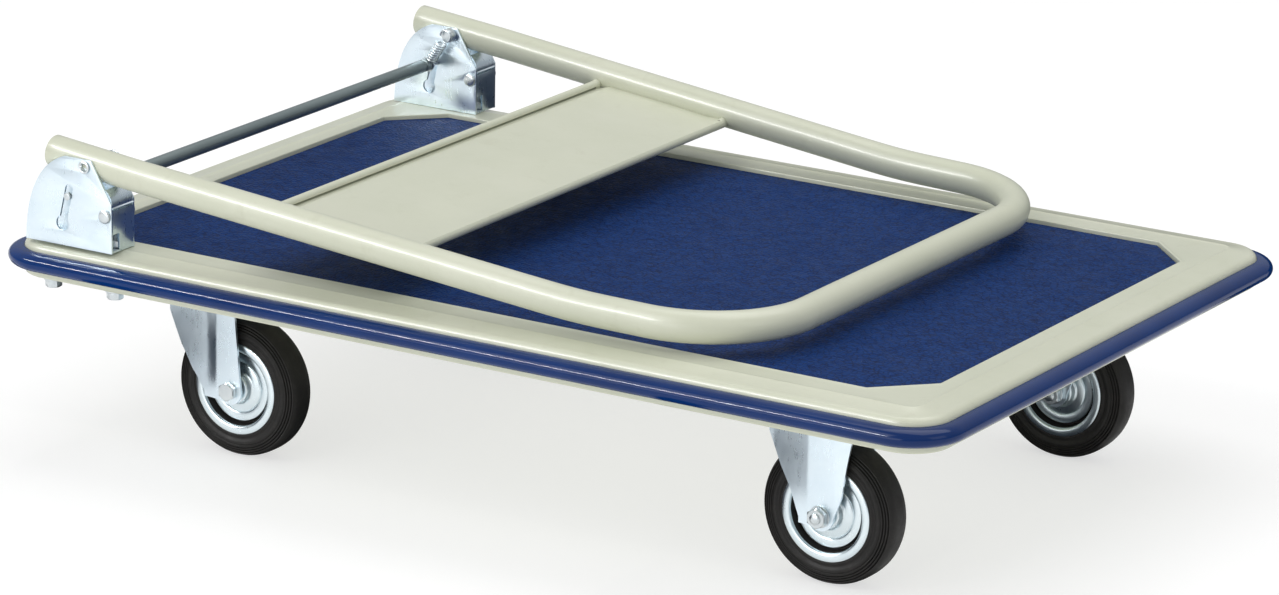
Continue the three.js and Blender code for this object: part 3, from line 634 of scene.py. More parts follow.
def build_deck_pan():
    """The pan's two skins, each closed by the recess floor, joined along the hem."""
    pan = Build()
    for inset in (0.0, SHEET):
        skin = pan_skin(inset)
        step = recess_rings(inset)
        pan.add(*lofted(skin))
        pan.add(*ring_face(skin[-1], step[0]))
        pan.add(*lofted(step, caps=(False, True)))
    pan.add(*lofted([pan_skin(0.0)[0], pan_skin(SHEET)[0]]))
    pan.finish("deck_pan", "pressed", [PAINT], "deck", sharp=40)


def build_mat():
    """Vinyl sheet with an eased top edge."""
    low, high = MAT_LOW.z, MAT_HIGH.z
    edge = ((0, low), (0.0, high - 0.5), (-0.15, high - 0.2), (-0.5, high), (-2.0, high))
    rings = [recess_outline(grow, level, 1.2) for grow, level in edge]
    mat = Build().add(*lofted(rings, caps=(True, True)))
    mat.finish("anti_slip_mat", "vinyl", [VINYL], "deck", sharp=60)


def build_bumper():
    """Strip of D section with a flat back and a lip at the top and bottom."""
    low, high = BUMPER_LOW.z, BUMPER_HIGH.z
    proud = BUMPER_HIGH.x - PAN_HIGH.x
    middle, half = (low + high) / 2, (high - low) / 2
    back, steps = -0.25, 18
    section = [(back, high - 1.0), (back, high)]
    for k in range(steps + 1):
        angle = math.radians(90 - 180 * k / steps)
        out = (abs(math.cos(angle)) ** 0.78) * (proud - 1.2) + 1.2
        section.append((-out, middle + half * math.sin(angle) * 0.995))
    section += [(back, low), (back, low + 1.0)]
    rings = [deck_outline(inset, level, 16) for inset, level in section]
    bumper = Build().add(*lofted(rings, wrap=True))
    bumper.finish("bumper_strip", "extruded", [PVC], "deck", sharp=50)


# ---- underside ---------------------------------------------------------------------
CHASSIS_SHEET = 2.5
RAIL_INSET = 4


def channel_section(half, low, high, bend):
    """Section of a folded channel with rounded bends, open at the top."""
    sheet = CHASSIS_SHEET
    inside = bend - sheet + 0.01
    section = [(-half, high)] + arc(-half + bend, low + bend, bend, 180, 270, 4)
    section += arc(half - bend, low + bend, bend, 270, 360, 4) + [(half, high)]
    section += [(half - sheet, high)] + arc(half - bend, low + bend, inside, 360, 270, 4)
    section += arc(bend - half, low + bend, inside, 270, 180, 4) + [(sheet - half, high)]
    return section


def build_rail(name):
    """Side rail, its open side against the deck."""
    node = f"side_rail_{name}"
    low, high, centre = box_mm(node)
    section = channel_section((high.y - low.y) / 2, low.z, high.z, 3.2)
    ends = (low.x + RAIL_INSET, high.x - RAIL_INSET)
    rings = [[Vector((x, centre.y + a, b)) for a, b in section] for x in ends]
    rail = Build().add(*lofted(rings, caps=(True, True)))
    rail.finish(node, "folded", [PAINT], "deck", sharp=30)


def build_channel(name):
    """Cross channel between the rails."""
    node = f"caster_channel_{name}"
    low, high, centre = box_mm(node)
    section = channel_section((high.x - low.x) / 2, low.z, high.z, 3.4)
    rings = [[Vector((centre.x + a, y, b)) for a, b in section] for y in (low.y, high.y)]
    channel = Build().add(*lofted(rings, caps=(True, True)))
    channel.finish(node, "folded", [PAINT], "deck", sharp=30)


# ---- hinge brackets ----------------------------------------------------------------
EAR_INSIDE = 14.4
EAR_SHEET = 2.2
EAR_FRONT = 28.5
EAR_BACK = -63.7
PIN_REACH = 16.9
FOOT = BRACKET_FOOT - PIVOT.z


def ear_outline():
    """Side view of an ear about the hinge, rounded at its corners."""
    crest = [(-21.6, 6.8), (-62.0, -8.0), (EAR_BACK, FOOT)]
    curve = []
    for k in range(15):
        t = k / 14
        shares = ((1 - t) ** 2, 2 * t * (1 - t), t * t)
        curve.append(tuple(sum(s * p[i] for s, p in zip(shares, crest)) for i in (0, 1)))
    corners = [
        (EAR_BACK, FOOT), (EAR_FRONT, FOOT), (EAR_FRONT, -29.6), (6.5, 6.8), (-21.6, 6.8),
    ]
    front = filleted(corners, [0, 0.6, 2.5, 3.0, 0], 4)
    return front[1:-1] + curve


def keyhole():
    """Slot with a small round top and a larger round foot, as in the frame."""
    top, end = Vector((-16.5, -22.0)), Vector((-24.0, -53.6))
    small, large = 4.0, 6.6
    lean = math.degrees(math.atan2(top.y - end.y, top.x - end.x))
    neck = math.degrees(math.asin(small / large))
    outline = arc(top.x, top.y, small, lean - 90, lean + 90, 10)
    outline += arc(end.x, end.y, large, lean + neck, lean - neck + 360, 18)
    return outline


def round_hole(x, z, radius, steps=20):
    return arc(x, z, radius, 0, 360 - 360 / steps, steps - 1)


def build_bracket(name, side):
    """One folded stamping: two ears, the foot, the front web and the curled rest for the tube."""
    bracket = Build()
    centre = Vector((PIVOT.x, side * BRACKET_Y, PIVOT.z))
    holes = [keyhole(), round_hole(0, 0, 4.9), round_hole(STOP.x, STOP.z, 3.7)]
    for turn in (-1, 1):
        y = centre.y + turn * (EAR_INSIDE + EAR_SHEET / 2)
        ear = cut_plate(ear_outline(), holes, EAR_SHEET)
        bracket.add(*ear, place=side_plane(centre.x, y, centre.z))
    back, front = EAR_BACK + 0.5, EAR_FRONT - 1
    corners = [(back, -EAR_INSIDE), (front, -EAR_INSIDE), (front, EAR_INSIDE), (back, EAR_INSIDE)]
    foot_holes = [round_hole(x - centre.x, 0, 4.2) for x in bolt_places()]
    plate = cut_plate(filleted(corners, 0.8, 3), foot_holes, EAR_SHEET)
    level = BRACKET_FOOT + EAR_SHEET / 2
    bracket.add(*plate, place=Matrix.Translation((centre.x, centre.y, level)))
    edge = EAR_INSIDE + 0.4
    web = [
        (-edge, FOOT + 17), (-5.0, FOOT + 17), (-5.0, FOOT + 3.0), (-1.5, FOOT + 0.6),
        (edge, FOOT + 0.6), (edge, -35.2), (-edge, -35.2),
    ]
    web = cut_plate(filleted(web, [0, 1.5, 1.2, 1.5, 1.0, 0, 0], 4), [], EAR_SHEET)
    upright = Matrix.Rotation(math.pi / 2, 4, "Z") @ Matrix.Rotation(math.pi / 2, 4, "X")
    place = Matrix.Translation((centre.x + EAR_FRONT - EAR_SHEET / 2, centre.y, centre.z))
    bracket.add(*web, place=place @ upright)
    bracket.add(*curled_rest(centre))
    bracket.finish(f"hinge_bracket_{name}", "stamped", [ZINC], "deck", sharp=34)


def curled_rest(centre):
    """Sheet that rises from the slit and curls back under the folded tube."""
    middle = EAR_FRONT - EAR_SHEET / 2
    profile = [(EAR_FRONT + 0.2, -33.6), (middle, -32.4)]
    for k in range(1, 9):
        t = k / 8
        a = (1 - t) ** 2 * middle + 2 * t * (1 - t) * middle + t * t * 20.2
        b = (1 - t) ** 2 * -32.4 + 2 * t * (1 - t) * -23.6 + t * t * -18.0
        profile.append((a, b))
    reach = EAR_INSIDE + 0.4
    across = [reach * (k / 4 - 1) for k in range(9)]
    grid = [[centre + Vector((a, y, b)) for y in across] for a, b in profile]
    return thick_sheet(grid, EAR_SHEET * 0.9)


def bolt_places():
    """The x of the front and rear bracket bolts."""
    return [box_mm(f"bracket_bolt_left_{end}")[2].x for end in ("front", "rear")]


def build_bracket_fasteners(name):
    """The bolts of one bracket, each with its pressed flange and its nut."""
    for end in ("front", "rear"):
        bolt_node, nut_node = f"bracket_bolt_{name}_{end}", f"bracket_nut_{name}_{end}"
        low, high, centre = box_mm(bolt_node)
        at = (centre.x, centre.y, 0)
        top = low.z + 8.1
        washer = [
            (4.2, top - 1.6), (8.4, top - 1.6), (8.6, top - 1.3), (8.6, top - 0.2), (8.4, top),
            (4.2, top),
        ]
        bolt = Build()
        bolt.add(*hex_block(M8_FLATS, low.z, top - 1.5, 0, centre=at, turn=math.pi / 6))
        bolt.add(*turned(washer, "Z", at, 32, closed=True))
        bolt.add(*threaded_rod(M8_RADIUS, top - 2, high.z, centre=at))
        bolt.finish(bolt_node, "m8", [BOLT_ZINC], "deck")
        low, high, _ = box_mm(nut_node)
        nut = Build()
        nut.add(*hex_block(M8_FLATS, low.z, high.z, 4.25, centre=at, turn=math.pi / 6))
        nut.finish(nut_node, "m8", [BOLT_ZINC], "deck")


def build_pivot_pin(name, side):
    """Hinge pin: rolled-over hollow end outside, long round head inside."""
    outer, head = PIN_REACH, 6.5
    profile = [
        (0, -outer - 7), (head - 1.4, -outer - 7), (head - 0.5, -outer - 6.7), (head, -outer - 6),
        (head, -outer - 0.4), (head - 0.4, -outer), (4.7, -outer), (4.7, outer), (5.4, outer),
        (5.7, outer + 0.4), (5.4, outer + 1.1), (4.6, outer + 1.5), (3.7, outer + 1.2),
        (3.1, outer + 0.3), (2.9, outer - 3), (0, outer - 3.2),
    ]
    centre = (PIVOT.x, side * BRACKET_Y, PIVOT.z)
    pin = Build().add(*turned([(r, y * side) for r, y in profile], "Y", centre, 32))
    pin.finish(f"pivot_pin_{name}", "rivet", [BOLT_ZINC], "deck")


def build_stop_rivet(name, side):
    """Rivet across both ears with a flat-domed head at each end and a spacer between."""
    node = f"stop_rivet_{name}"
    centre = box_mm(node)[2]
    head, shank, spacer, inner = 6.2, 3.5, 4.2, 14.1
    dome = [
        (0, 2.8), (3.4, 2.75), (4.8, 2.45), (5.6, 1.9), (head - 0.1, 1.0), (head, 0.2),
        (head - 0.1, 0),
    ]
    profile = [(r, -PIN_REACH - rise) for r, rise in dome]
    profile += [(shank, -PIN_REACH), (shank, -inner), (spacer, -inner)]
    profile += [(spacer, inner), (shank, inner), (shank, PIN_REACH)]
    profile += [(r, PIN_REACH + rise) for r, rise in reversed(dome)]
    rivet = Build().add(*turned(profile, "Y", (centre.x, side * BRACKET_Y, centre.z), 32))
    rivet.finish(node, "domed", [BOLT_ZINC], "deck", sharp=40)


# ---- handle ------------------------------------------------------------------------
TUBE = 14.0
FOLD_SLOPE = math.radians(5.8)
GRIP_SLOPE = math.radians(1.3)
KINK_REACH = 483.6
GRIP_BEND = 98.0
STUB = 44.6
GRIP_HALF_WIDTH = 265.2
GRIP_X = 262.9
PARALLEL_REACH = 40.0
PANEL_SHEET = 1.6
PANEL_LIFT = -6.0
PANEL_BEAD = 4.0


def handle_height(x):
    """Height of the folded handle's centre line, its kink eased over a short bend."""
    kink = PIVOT.x + KINK_REACH * math.cos(FOLD_SLOPE)
    ease = 26.0
    slopes = (math.tan(FOLD_SLOPE), math.tan(GRIP_SLOPE))
    if x < kink - ease:
        return PIVOT.z - (x - PIVOT.x) * slopes[0]
    start = PIVOT.z - (kink - ease - PIVOT.x) * slopes[0]
    along = min(x - (kink - ease), 2 * ease)
    blend = slopes[0] * along + (slopes[1] - slopes[0]) * along * along / (4 * ease)
    beyond = max(0.0, x - kink - ease)
    return start - blend - beyond * slopes[1]


def handle_half_width(x):
    start = PIVOT.x + PARALLEL_REACH
    end = GRIP_X - GRIP_BEND
    share = min(1.0, max(0.0, (x - start) / (end - start)))
    return BRACKET_Y + share * (GRIP_HALF_WIDTH - BRACKET_Y)


def handle_leg(side):
    """Centre-line points of one leg, from its free end to the middle of the grip."""
    start = PIVOT.x - STUB * math.cos(FOLD_SLOPE)
    bend = GRIP_X - GRIP_BEND
    plan = []
    steps = 46
    for k in range(steps):
        x = start + (bend - start) * k / steps
        plan.append((x, handle_half_width(x)))
    for k in range(25):
        angle = math.radians(90 * k / 24)
        y = GRIP_HALF_WIDTH - GRIP_BEND + GRIP_BEND * math.cos(angle)
        plan.append((bend + GRIP_BEND * math.sin(angle), y))
    for k in range(1, 5):
        plan.append((GRIP_X, (GRIP_HALF_WIDTH - GRIP_BEND) * (1 - k / 4)))
    return [Vector((x, side * y, handle_height(x))) for x, y in plan]


def tube_section(radius, count=32):
    angles = [TAU * k / count for k in range(count)]
    return [(radius * math.cos(angle), radius * math.sin(angle)) for angle in angles]


def build_handle_tube():
    """Bent tube with open, deburred ends."""
    path = handle_leg(-1) + handle_leg(1)[::-1][1:]
    outside = swept(path, tube_section(TUBE - 0.02))
    inside = swept(path, tube_section(TUBE - 1.7))
    for end, inner in ((0, 1), (-1, -2)):
        centre = sum(outside[end], Vector()) / len(outside[end])
        toward = (sum(outside[inner], Vector()) / len(outside[inner]) - centre).normalized()
        shrink = 1 - 0.35 / (TUBE - 0.02)
        rounded = [centre + (p - centre) * shrink for p in outside[end]]
        outside[end] = [p + toward * 0.5 for p in outside[end]]
        outside.insert(0 if end == 0 else len(outside), rounded)
    tube = Build().add(*lofted(outside + inside[::-1], wrap=True))
    tube.finish("handle_tube", "bent", [PAINT], "handle", sharp=42)


def panel_edges():
    """Distances along the handle from its hinge to the panel's two beads."""
    low, high, _ = box_mm("handle_panel")
    slope = math.cos(FOLD_SLOPE)
    return (low.x - PIVOT.x) / slope + PANEL_BEAD, (high.x - PIVOT.x) / slope - PANEL_BEAD


def build_handle_panel():
    """Sheet with both long edges rolled over, a slit beside the hinge-side roll and welded ends."""
    start, end = panel_edges()
    lift, bead = PANEL_LIFT, PANEL_BEAD
    roll = bead - PANEL_SHEET / 2
    profile = [(start + a, lift + b) for a, b in arc(0, 0, roll, -6, 270, 16)]
    profile += [
        (start + 5.0, lift - roll), (start + 7.5, lift - roll + 0.4), (start + 11.5, lift - 0.6),
    ]
    flat = start + 15.0
    for k in range(9):
        crown = 0.2 + 0.8 * math.sin(math.pi * k / 9)
        profile.append((flat + (end - bead - flat) * k / 9, lift + crown))
    for k in range(15):
        angle = math.radians(60 - 290 * k / 14)
        a, b = bead * math.cos(angle) * 0.9, bead * math.sin(angle) * 0.9 - 0.6
        profile.append((end + a, lift + b))
    slope = Matrix.Translation(PIVOT) @ Matrix.Rotation(FOLD_SLOPE, 4, "Y")
    grid = []
    for a, b in profile:
        half = handle_half_width(PIVOT.x + a * math.cos(FOLD_SLOPE)) - TUBE + 1.2
        grid.append([slope @ Vector((a, half * (k / 12 - 1), b)) for k in range(25)])
    panel = Build()
    panel.add(*thick_sheet(grid, PANEL_SHEET))
    for bead_at in (start, end):
        for side in (1, -1):
            add_bead_end(panel, slope, bead_at, lift, side)
    panel.finish("handle_panel", "rolled", [PAINT], "handle", sharp=40)


def add_bead_end(build, slope, along, lift, side):
    """Rounded plug of weld where a rolled edge meets the tube."""
    wall = handle_half_width(PIVOT.x + along * math.cos(FOLD_SLOPE)) - TUBE
    plug = [(3.6, -6.0), (4.1, -4.0), (4.4, -1.4), (4.5, 0.6), (3.8, 1.8), (2.4, 2.6), (0, 2.9)]
    profile = [(r, side * (wall + y)) for r, y in plug]
    build.add(*turned(profile, "Y", (along, 0, lift), 20), place=slope)


# ---- release bar -------------------------------------------------------------------
BAR_SHOULDER = 254.5
SPRING_TURNS = 8
COIL_RADIUS = 4.8
WIRE_RADIUS = 0.95


def build_release_bar():
    """Varnished bar with turned shoulders and bright necks that ride in the keyholes."""
    _, high, centre = box_mm("release_bar")
    end, radius, neck, tip = BAR_SHOULDER, 6.0, 3.7, high.y
    half = [
        (neck, tip), (neck, end + 1.2), (4.6, end + 1.2), (4.9, end), (radius - 1.3, end),
        (radius - 0.5, end - 0.4), (radius, end - 1.6), (radius, end - 7.0),
        (radius - 0.9, end - 7.5), (radius - 0.9, end - 10.5), (radius, end - 11.0),
        (radius, 200), (radius, 120), (radius, 40),
    ]
    profile = [(0, tip), *half, *[(r, -y) for r, y in reversed(half)], (0, -tip)]
    bar = Build().add(*turned(profile, "Y", (centre.x, 0, centre.z), 28))
    for k, face in enumerate(bar.faces):
        middle = sum(abs(bar.vertices[i].y) for i in face) / len(face)
        bar.slots[k] = 1 if middle > end - 0.2 else 0
    bar.finish("release_bar", "turned", [DARK, BOLT_ZINC], "release")


def build_bar_washer(name):
    node = f"bar_washer_{name}"
    low, high, centre = box_mm(node)
    a, b = low.y, high.y
    profile = [(4.0, a), (6.7, a), (7.0, a + 0.25), (7.0, b - 0.25), (6.7, b), (4.0, b)]
    washer = Build().add(*turned(profile, "Y", (centre.x, 0, centre.z), 32, closed=True))
    washer.finish(node, "bright", [BOLT_ZINC], "release")


def build_pin_stud(name, side):
    """Outer end of the pin, with the groove for the little clip that keeps it in the ear."""
    node = f"pin_stud_{name}"
    low, high, centre = box_mm(node)
    start, end = sorted((low.y, high.y), key=abs)
    reach = abs(end) - abs(start)
    profile = [
        (0, 0), (3.3, 0), (3.3, reach - 1.5), (2.7, reach - 1.3), (2.7, reach - 0.9),
        (3.3, reach - 0.7), (3.2, reach - 0.2), (2.6, reach), (1.0, reach), (0.7, reach - 0.4),
        (0, reach - 0.4),
    ]
    profile = [(r, start + side * y) for r, y in profile]
    stud = Build().add(*turned(profile, "Y", (centre.x, 0, centre.z), 24))
    stud.finish(node, "grooved", [BOLT_ZINC], "release")


def build_spring(name, side):
    """Close-wound extension spring hooked between the hinge pin and the bar's neck."""
    node = f"return_spring_{name}"
    y = box_mm(node)[2].y - side * 4.0
    top = Vector((PIVOT.x, y, PIVOT.z))
    foot = Vector((PIVOT.x + PIN.x, y, PIVOT.z + PIN.z))
    down = (foot - top).normalized()
    across = Vector((0, side, 0))
    out = down.cross(across).normalized()
    first, last = 8.2, (foot - top).length - 4.6
    steps = SPRING_TURNS * 14
    path = []
    for k in range(steps + 1):
        angle = TAU * SPRING_TURNS * k / steps
        ring = across * (COIL_RADIUS * math.cos(angle)) + out * (COIL_RADIUS * math.sin(angle))
        path.append(top + down * (first + (last - first) * k / steps) + ring)
    spring = Build()
    spring.add(*wire(path))
    for end, hook, inward in ((top, 5.6, 1), (foot, 4.4, -1)):
        loop = []
        for k in range(25):
            angle = math.radians(-120 + 240 * k / 24)
            inset = down * inward * hook * math.cos(angle)
            loop.append(end - inset + out * hook * math.sin(angle))
        spring.add(*wire(loop))
    piece = spring.finish(node, "coil", [SPRING_STEEL], None, sharp=60)
    start, end = (top + down * 8) * MM, (foot - down * 5) * MM
    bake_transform(piece)


def wire(path):
    """Round wire along a path, its ends closed."""
    reference = Vector((0, 1, 0))
    rings = []
    for k, point in enumerate(path):
        ahead = (path[min(k + 1, len(path) - 1)] - path[max(k - 1, 0)]).normalized()
        side = ahead.cross(reference)
        if side.length < 0.2:
            side = ahead.cross(Vector((0, 0, 1)))
        side.normalize()
        lift = side.cross(ahead).normalized()
        rings.append([point + side * a + lift * b for a, b in tube_section(WIRE_RADIUS, 8)])
    return lofted(rings, caps=(True, True))


# ---- wheels ------------------------------------------------------------------------
# The rim's section from its bead to its bore: radius, and distance out from its face.
RIM_DISH = [
    (41.0, -3.5), (41.5, -0.8), (41.3, 0.6), (40.6, 1.2), (38.8, 1.5), (36.6, 1.5), (35.0, 1.2),
    (34.3, 0.4), (34.0, -1.2), (33.6, -6.2), (32.9, -8.3), (31.6, -8.4), (31.0, -6.4),
    (30.2, -5.4), (28.4, -5.1), (24.3, -5.0), (23.5, -5.3), (23.0, -5.7), (22.5, -5.2),
    (21.8, -4.7), (16.6, -4.4), (15.2, -4.0), (14.2, -2.8), (13.6, -0.6), (13.0, 1.3),
    (12.2, 1.9), (8.9, 2.0), (8.6, 1.6),
]
# Radii of the rim's groove, whose faces take the dark rubber as painted shade.
PAINTED_SHADE_GROOVE = (31.2, 33.9)
THREAD_SPARE = 3.0


def mirrored(half):
    """Profile made of a half and its reflection across the wheel's middle."""
    return [(r, -y) for r, y in reversed(half)] + list(half)


def build_tyre(prefix, body):
    """Tyre with a crowned tread and four moulded ribs on each side."""
    node = f"{prefix}_tyre"
    low, high, centre = box_mm(node)
    radius = (high.z - low.z) / 2
    w = (high.y - low.y) / 2
    half = [(radius - 0.05, 4.5), (radius - 0.45, 8.2), (radius - 1.6, 11.2)]
    rib = ((0.7, -0.5), (0.3, 0.42), (-0.5, 0.55), (-0.9, -0.4), (-1.2, -0.55))
    for k in range(4):
        r, y = radius - 3.1 - 2.2 * k, w - 3.3 + 0.75 * k
        half += [(r + a, y + b) for a, b in rib]
    wall = (
        (12.6, 0.35), (14.0, 0.3), (15.0, 0.7), (16.2, 1.9), (17.4, 2.1), (18.5, 1.4),
        (19.5, 0.7), (20.7, 0.8), (21.3, 1.6), (21.35, 4.0), (21.3, 6.0),
    )
    half += [(radius - inward, w - inset) for inward, inset in wall]
    profile = mirrored(half)
    profile.insert(len(half), (radius, 0))
    tyre = Build().add(*turned(profile, "Y", centre, 96, closed=True))
    tyre.finish(node, "moulded", [RUBBER], body, sharp=50)


def build_rim(prefix, body):
    """Two pressed dishes: bright outer bead, deep groove, flat disc with a fine ring, hub; the
    groove's faces take the dark tyre rubber as painted shade.
    """
    node = f"{prefix}_rim"
    low, high, centre = box_mm(node)
    face = (high.y - low.y) / 2 - 2.0
    half = [(radius, face + rise) for radius, rise in RIM_DISH]
    rim = Build().add(*turned(mirrored(half), "Y", centre, 96, closed=True))
    for k, corners in enumerate(rim.faces):
        middle = sum((rim.vertices[i] for i in corners), Vector()) / len(corners) - centre
        # Faces in the groove take the dark rubber: painted shade in the groove.
        in_painted_shade_groove = PAINTED_SHADE_GROOVE[0] < math.hypot(middle.x, middle.z) < PAINTED_SHADE_GROOVE[1]
        rim.slots[k] = 1 if in_painted_shade_groove else 0
    rim.finish(node, "pressed", [RIM_ZINC, RUBBER], body, sharp=40)


def build_axle(prefix, body):
    """Axle bolt, nut with washers and the sleeve between the fork's legs."""
    low, high, _ = box_mm(f"{prefix}_axle_bolt")
    wheel = box_mm(f"{prefix}_tyre")[2]
    bolt_low, bolt_high = low.y - wheel.y, high.y - wheel.y
    head_side = -1 if abs(bolt_low) < abs(bolt_high) else 1
    tail = max(abs(bolt_low), abs(bolt_high)) - THREAD_SPARE
    face = LEG_FACE + 0.2
    ends = sorted((head_side * face, head_side * (face + 5.6)))
    shank = [(0, -face - 1), (4.9, -face - 1), (4.9, face + 1), (0, face + 1)]
    place = Matrix.Translation(wheel)
    if head_side > 0:
        place = place @ Matrix.Rotation(math.pi, 4, "Z")
    bolt = Build()
    bolt.add(*hex_block(15, *ends, 0, "Y", wheel, math.pi / 6))
    bolt.add(*turned([(r, head_side * y) for r, y in shank], "Y", wheel, 24))
    bolt.add(*threaded_rod(5.0, face - 1, tail, 1.5, "Y"), place=place)
    bolt.finish(f"{prefix}_axle_bolt", "m10", [BOLT_ZINC], body)
    ends = sorted((-head_side * (face + 1.6), -head_side * (face + 8.0)))
    ring = [
        (5.2, face), (9.2, face), (9.5, face + 0.3), (9.5, face + 1.3), (9.2, face + 1.6),
        (5.2, face + 1.6),
    ]
    nut = Build()
    nut.add(*hex_block(16, *ends, 4.9, "Y", wheel, math.pi / 6))
    nut.add(*turned([(r, -head_side * y) for r, y in ring], "Y", wheel, 32, closed=True))
    nut.finish(f"{prefix}_axle_nut", "m10", [BOLT_ZINC], body)
    half = LEG_INNER - 0.1
    wall = [
        (5.4, -half), (7.7, -half), (8.0, 0.3 - half), (8.0, half - 0.3), (7.7, half), (5.4, half),
    ]
    sleeve = Build().add(*turned(wall, "Y", wheel, 32, closed=True))
    sleeve.finish(f"{prefix}_axle_sleeve", "turned", [BOLT_ZINC], body, slot="bearing_steel")


# ---- forks -------------------------------------------------------------------------
LEG_SHEET = 2.5
LEG_INNER = 18.9
RIB_RISE = 3.0
LEG_FACE = LEG_INNER + LEG_SHEET + RIB_RISE
FOOT_RADIUS = 12.5
# A leg's pressed rib: back and front x, width of its walls and how sharply they rise.
SWIVEL_RIB = (-14.5, 30.0, 11.0, 2)
FIXED_RIB = (-12.5, 13.0, 34.0, 1)
PLATE_SHEET = 3.0
PLATE_BOLT_X = 42.0
PLATE_BOLT_Y = 33.0
QUARTERS = ((-1, -1), (-1, 1), (1, -1), (1, 1))


def smooth(low, high, value):
    share = min(1.0, max(0.0, (value - low) / (high - low)))
    return share * share * (3 - 2 * share)


def edge_at(points, level):
    """The x of an edge (list of (x, z) downwards) at a height."""
    for (xa, za), (xb, zb) in zip(points, points[1:]):
        if za >= level >= zb:
            return xa + (xb - xa) * (za - level) / (za - zb)
    return points[-1][0] if level < points[-1][1] else points[0][0]


def leg_grid(side, wheel, top, front, back, rib, bend):
    """Middle surface of one fork leg, from the bend under the crown to its rounded foot."""
    middle = LEG_INNER + LEG_SHEET / 2
    shares = [k / 60 for k in range(61)]

    def row(left, right, y, z, fade, scale=1.0):
        points = []
        for share in shares:
            x = left + (right - left) * share
            rise = RIB_RISE * rib_height(x, rib, fade) * scale
            points.append(wheel + Vector((x, side * (y + rise), z)))
        return points

    grid = []
    for k in range(7):
        angle = math.radians(90 * k / 6)
        y = middle - bend + bend * math.sin(angle)
        z = top - LEG_SHEET / 2 - (bend - LEG_SHEET / 2) * (1 - math.cos(angle))
        scale = smooth(0.3, 1.0, k / 6)
        grid.append(row(edge_at(back, top), edge_at(front, top), y, z, 1.0, scale))
    start = top - bend
    levels = [start - start * k / 26 for k in range(26)]
    levels += [-FOOT_RADIUS * 0.985 * math.sin(math.radians(90 * k / 12)) for k in range(13)]
    for level in levels:
        left, right = edge_at(back, level), edge_at(front, level)
        if level < 0:
            right = math.sqrt(FOOT_RADIUS ** 2 - level ** 2)
            left = left if left < -right and level > -9 else -right
        grid.append(row(left, right, middle, level, smooth(-4, 30, level)))
    return grid


def rib_height(x, rib, fade):
    """How far the pressed rib stands out at x; towards the foot it widens into the whole leg."""
    low, high, wall, power = rib
    rising = min(1.0, max(0.0, (x - low + wall) / wall))
    falling = min(1.0, max(0.0, (high + wall - x) / wall))
    return rising ** power * falling ** power * fade + (1 - fade)


def build_swivel_fork(prefix, body):
    """Two ribbed legs that lean back from the crown, with the crown between them."""
    node = f"{prefix}_fork"
    wheel = box_mm(f"{prefix}_tyre")[2]
    crown_low = box_mm(f"{prefix}_bearing_ring")[0].z - wheel.z - 9.8
    axis_x = box_mm(f"{prefix}_kingpin")[2].x - wheel.x
    back = [(-64.5, 80), (-65, 62), (-53, 33.3), (-41.3, 14.4), (-35.2, 7.6), (-26.5, -3.5)]
    front = [(5.0, 80), (6.1, 66), (8.4, 40.5), (10.1, 19.5), (12.4, 0)]
    fork = Build()
    for side in (1, -1):
        grid = leg_grid(side, wheel, crown_low + 3.2, front, back, SWIVEL_RIB, 7.0)
        fork.add(*thick_sheet(grid, LEG_SHEET))
    fork.add(*crown_shape(wheel, axis_x, crown_low, box_mm(node)[1].z - wheel.z))
    fork.finish(node, "stamped", [ZINC], body, sharp=36)


def crown_shape(wheel, axis_x, low, high):
    """Round crown of the swivel head: flat dish, raised race and king-pin hole."""
    profile = [
        (6.4, low), (27.0, low), (31.5, low + 0.2), (33.6, low + 1.2), (34.0, low + 2.6),
        (33.6, high - 2.2), (32.6, high - 0.8), (31.0, high), (24.5, high), (23.0, high - 1.4),
        (6.4, high - 1.4),
    ]
    centre = (wheel.x + axis_x, wheel.y, wheel.z)
    return turned(profile, "Z", centre, 56, closed=True)


def build_fixed_fork(prefix, body):
    """Two ribbed legs under a mounting plate, with the plate's bolts."""
    node = f"{prefix}_fork"
    wheel = box_mm(f"{prefix}_tyre")[2]
    low, high, centre = box_mm(node)
    back = [(-58.5, 95), (-51.4, 64), (-39.4, 36), (-28.8, 17.7), (-20.5, -3.5)]
    front = [(30.5, 95), (27.0, 67), (22.8, 44), (19.1, 18), (12.4, 0)]
    fork = Build()
    for side in (1, -1):
        grid = leg_grid(side, wheel, high.z - wheel.z - 0.2, front, back, FIXED_RIB, 6.0)
        fork.add(*thick_sheet(grid, LEG_SHEET))
    add_mounting_plate(fork, low, high, [])
    fork.finish(node, "stamped", [ZINC], body, sharp=36)
    build_plate_bolts(prefix, centre, high.z - PLATE_SHEET, body)


def add_mounting_plate(build, low, high, more_holes):
    """Caster plate with its four bolt holes, just under the top of a box."""
    half_x, half_y = (high.x - low.x) / 2, (high.y - low.y) / 2
    corners = [(-half_x, -half_y), (half_x, -half_y), (half_x, half_y), (-half_x, half_y)]
    holes = [round_hole(sx * PLATE_BOLT_X, sy * PLATE_BOLT_Y, 4.4) for sx, sy in QUARTERS]
    plate = cut_plate(filleted(corners, 7, 6), holes + more_holes, PLATE_SHEET, 0.4)
    x, y, _ = (low + high) / 2
    build.add(*plate, place=Matrix.Translation((x, y, high.z - PLATE_SHEET / 2)))


